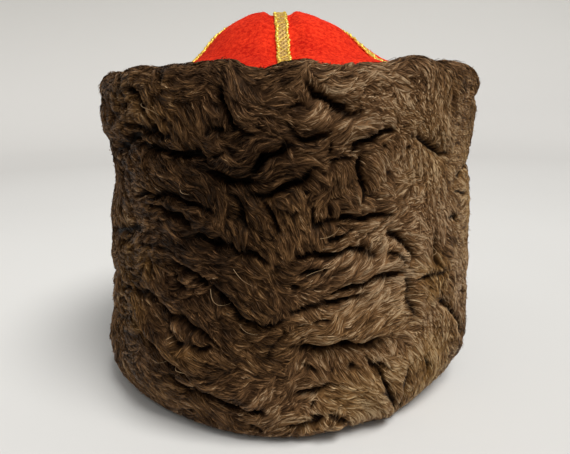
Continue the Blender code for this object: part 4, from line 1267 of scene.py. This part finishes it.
def braid_line(first_arm, over, stations):
    """Way in mm along a braid, and what puts points beside its middle and over the crown."""
    t = np.linspace(-BRAID_END, BRAID_END, stations)
    s = np.abs(t)
    hand = np.where(t >= 0, 1.0, -1.0)
    a = np.radians(np.where(t >= 0, arm_angle(first_arm, s), arm_angle(first_arm + 2, s)))
    sin_a, cos_a = np.sin(a)[:, None], np.cos(a)[:, None]
    lift = np.full_like(t, GAP)
    if over:
        away = s * CROWN_RADIUS - 0.5 * BRAID_WIDTH
        ramp_up = 1.0 - smooth_step(away / CROSSING_RAMP)
        lift = lift + (BRAID_THICKNESS + BRAID_CORD_RISE + GAP) * ramp_up

    def put(shift, height):
        side = hand[:, None] * shift / CROWN_RADIUS
        u = s[:, None] * sin_a + side * cos_a
        v = side * sin_a - s[:, None] * cos_a
        return crown_point(u, v, lift[:, None] + height)

    return (t * CROWN_RADIUS)[:, None], put


def build_braid_weave(first_arm, over, name, surface):
    """Woven middle of a braid: threads that cross in a lattice."""
    way, put = braid_line(first_arm, over, WEAVE_STATIONS)
    wide = 0.5 * BRAID_WIDTH - 0.5 * BRAID_CORD_WIDTH
    w = np.linspace(-wide, wide, WEAVE_THREADS)[None, :]
    rising = np.sin(2 * math.pi * (way / 2.3 + w / 2.7))
    falling = np.sin(2 * math.pi * (way / 2.3 - w / 2.7))
    lattice = np.maximum(rising, falling)
    fine = np.sin(way * 11.0 + 2.0 * np.sin(w * 3.0)) * np.sin(w * 6.0 + way)
    height = BRAID_THICKNESS - 0.15 + 0.20 * lattice + 0.06 * fine
    # Tone follows the height of the threads: darker down between them, as painted shade, and
    # paler where they rise
    tone = 0.40 + 0.08 * lattice + 0.42 * smooth_step((lattice - 0.6) / 0.35) + 0.14 * fine
    ring = np.concatenate((put(w, height), put(np.array((wide, -wide)), -BRAID_SEAT)), axis=1)
    colours = np.ones((*ring.shape[:2], 4))
    colours[:, :, 0] = 0.3
    colours[:, :WEAVE_THREADS, 0] = tone
    return mesh_piece("weave_" + name, ring.reshape(-1, 3), *tube_faces(*ring.shape[:2], 1),
                      colours.reshape(-1, 4), surface, ["braid_" + name], "gold_braid")


def build_braid_cords(first_arm, over, name, surface):
    """Gilt cords along both edges of a braid, and a thin thread laid to and fro between."""
    way, put = braid_line(first_arm, over, CORD_STATIONS)
    radius = 0.5 * BRAID_CORD_WIDTH
    chance = np.random.default_rng(CORD_SEED + first_arm)
    lumps = np.linspace(way[0, 0], way[-1, 0], 260)
    lumps = np.interp(way, lumps, chance.standard_normal(260))
    edge = 0.5 * BRAID_WIDTH - radius
    lines = []
    for side in (-1.0, 1.0):
        wander = 0.20 * np.sin(way * 0.55 + side) + 0.14 * np.sin(way * 1.9 + 2.0 * side)
        rising = 0.12 * np.sin(way * 1.1 + side) + 0.10 * lumps * side
        lines.append((side * edge + wander, radius * (1.0 + 0.16 * lumps * side), rising, side))
    lines.append((edge * np.sin(way * 0.62 + 0.6 * np.sin(way * 0.2)), 0.32, 0.25, 1.0))
    a = 2 * math.pi * np.arange(CORD_CORNERS) / CORD_CORNERS
    points = []
    twist_shade = []
    for place, thick, rising, side in lines:
        ply = np.abs(np.cos(a - math.pi * way / 2.4 * side))
        lobed = thick * (0.62 + 0.38 * ply)
        points.append(put(place + lobed * np.cos(a), 0.55 + rising + lobed * np.sin(a)))
        # Tone sinks with the plies: painted shade in the grooves of the twist
        twist_shade.append(0.05 + 0.85 * ply)
    points = np.array(points).reshape(-1, 3)
    paint = np.ones((len(points), 4))
    paint[:, 0] = np.array(twist_shade).ravel()
    return mesh_piece("cords_" + name, points,
                      *tube_faces(CORD_STATIONS, CORD_CORNERS, len(lines)),
                      paint, surface, ["braid_" + name], "gold_braid")


# Room

def build_floor():
    """Round pale floor that curves up into a wall far away on all sides."""
    profile = [(0.4, 0.0), (0.9, 0.0), (1.5, 0.0)]
    for k in range(1, 13):
        a = math.radians(90.0 * k / 12)
        profile.append((1.5 + 0.9 * math.sin(a), 0.9 * (1 - math.cos(a))))
    profile.append((2.4, 1.3))
    points = []
    for radius, z in profile:
        for i in range(FLOOR_SIDES):
            a = 2 * math.pi * i / FLOOR_SIDES
            points.append((radius * math.cos(a), radius * math.sin(a), z))
    quads = grid_quads(len(profile), FLOOR_SIDES, False, True)
    mesh = bpy.data.meshes.new("floor")
    mesh.from_pydata(points, [], [range(FLOOR_SIDES)] + quads.tolist())
    for polygon in mesh.polygons:
        polygon.use_smooth = True
    made, tree, shader, coords = new_material("pale floor")
    mottle = speckle(tree, coords, 3.0, 2.0)
    near = ramp(tree, mottle, ((0.3, FLOOR_DARK), (0.7, FLOOR_LIGHT)))
    split = add_node(tree, "SeparateXYZ", {0: coords}).outputs
    away = add_node(tree, "VectorMath", {0: coords}, operation="LENGTH").outputs["Value"]
    # Painted shade: the far floor and the wall darker, most of all on the left
    side = carry(tree, split[0], (-1.1, 1.1))
    wall = blend(tree, "MIX", side, WALL_LEFT, WALL_RIGHT)
    back = blend(tree, "MIX", side, FAR_LEFT, FAR_RIGHT)
    ground = blend(tree, "MIX", carry(tree, away, (0.2, 1.1)), near, back)
    feed(tree, shader, {"Base Color": blend(tree, "MIX", carry(tree, split[2], (0.1, 0.6)),
                                            ground, wall),
                        "Roughness": 0.8,
                        "Specular IOR Level": 0.1})
    mesh.materials.append(made)
    floor = bpy.data.objects.new("floor", mesh)
    bpy.context.scene.collection.objects.link(floor)


def add_sun(name, azimuth, height, angle, power, colour):
    data = bpy.data.lights.new(name, "SUN")
    data.angle = math.radians(angle)
    data.energy = power
    data.color = colour
    light = bpy.data.objects.new(name, data)
    bpy.context.scene.collection.objects.link(light)
    a = math.radians(azimuth)
    b = math.radians(height)
    toward = Vector((math.sin(a) * math.cos(b), -math.cos(a) * math.cos(b), math.sin(b)))
    light.rotation_euler = (-toward).to_track_quat("-Z", "Y").to_euler()


def build_light():
    add_sun("key", *KEY_SUN, KEY_POWER, KEY_COLOUR)
    add_sun("front", *FRONT_SUN, FRONT_POWER, FRONT_COLOUR)
    world = bpy.data.worlds.new("room")
    world.use_nodes = True
    background = world.node_tree.nodes["Background"]
    background.inputs["Color"].default_value = ROOM_COLOUR
    background.inputs["Strength"].default_value = ROOM_POWER
    bpy.context.scene.world = world
    bpy.context.scene.view_settings.view_transform = "Standard"


def build_camera():
    data = bpy.data.cameras.new("camera")
    data.sensor_width = 36.0
    data.lens = CAMERA_LENS * 36.0
    data.shift_y = CAMERA_SHIFT
    data.clip_start = 0.01
    data.clip_end = 20.0
    camera = bpy.data.objects.new("camera", data)
    bpy.context.scene.collection.objects.link(camera)
    place = (np.array(CAMERA_AT) - CENTRE) * MM
    camera.matrix_world = (
        Matrix.Translation(place)
        @ Matrix.Rotation(math.radians(CAMERA_TURN), 4, "Z")
        @ Matrix.Rotation(math.radians(CAMERA_TILT), 4, "X")
        @ Matrix.Rotation(math.radians(CAMERA_ROLL), 4, "Z")
    )
    bpy.context.scene.camera = camera


def main():
    build_camera()
    build_light()
    build_floor()
    hair = fur_material("karakul hair", 0.11)
    pelt = fur_material("karakul pelt", 0.03)
    grids = make_grids()
    build_pelt(grids, pelt)
    for number in range(STRAND_PIECES):
        build_hair(grids, number, hair)
    build_strays(grids, hair)
    felt = felt_material()
    for arm, name in enumerate(GORES):
        build_gore(arm, name, felt)
    build_lint(felt)
    weave = gilt_material("gilt weave", TAN, 0.42, 0.25)
    cord = gilt_material("gilt cord", GOLD, 0.32, 0.4)
    for first_arm, over, name in ((1, False, "side_to_side"), (0, True, "front_to_back")):
        build_braid_weave(first_arm, over, name, weave)
        build_braid_cords(first_arm, over, name, cord)


main()
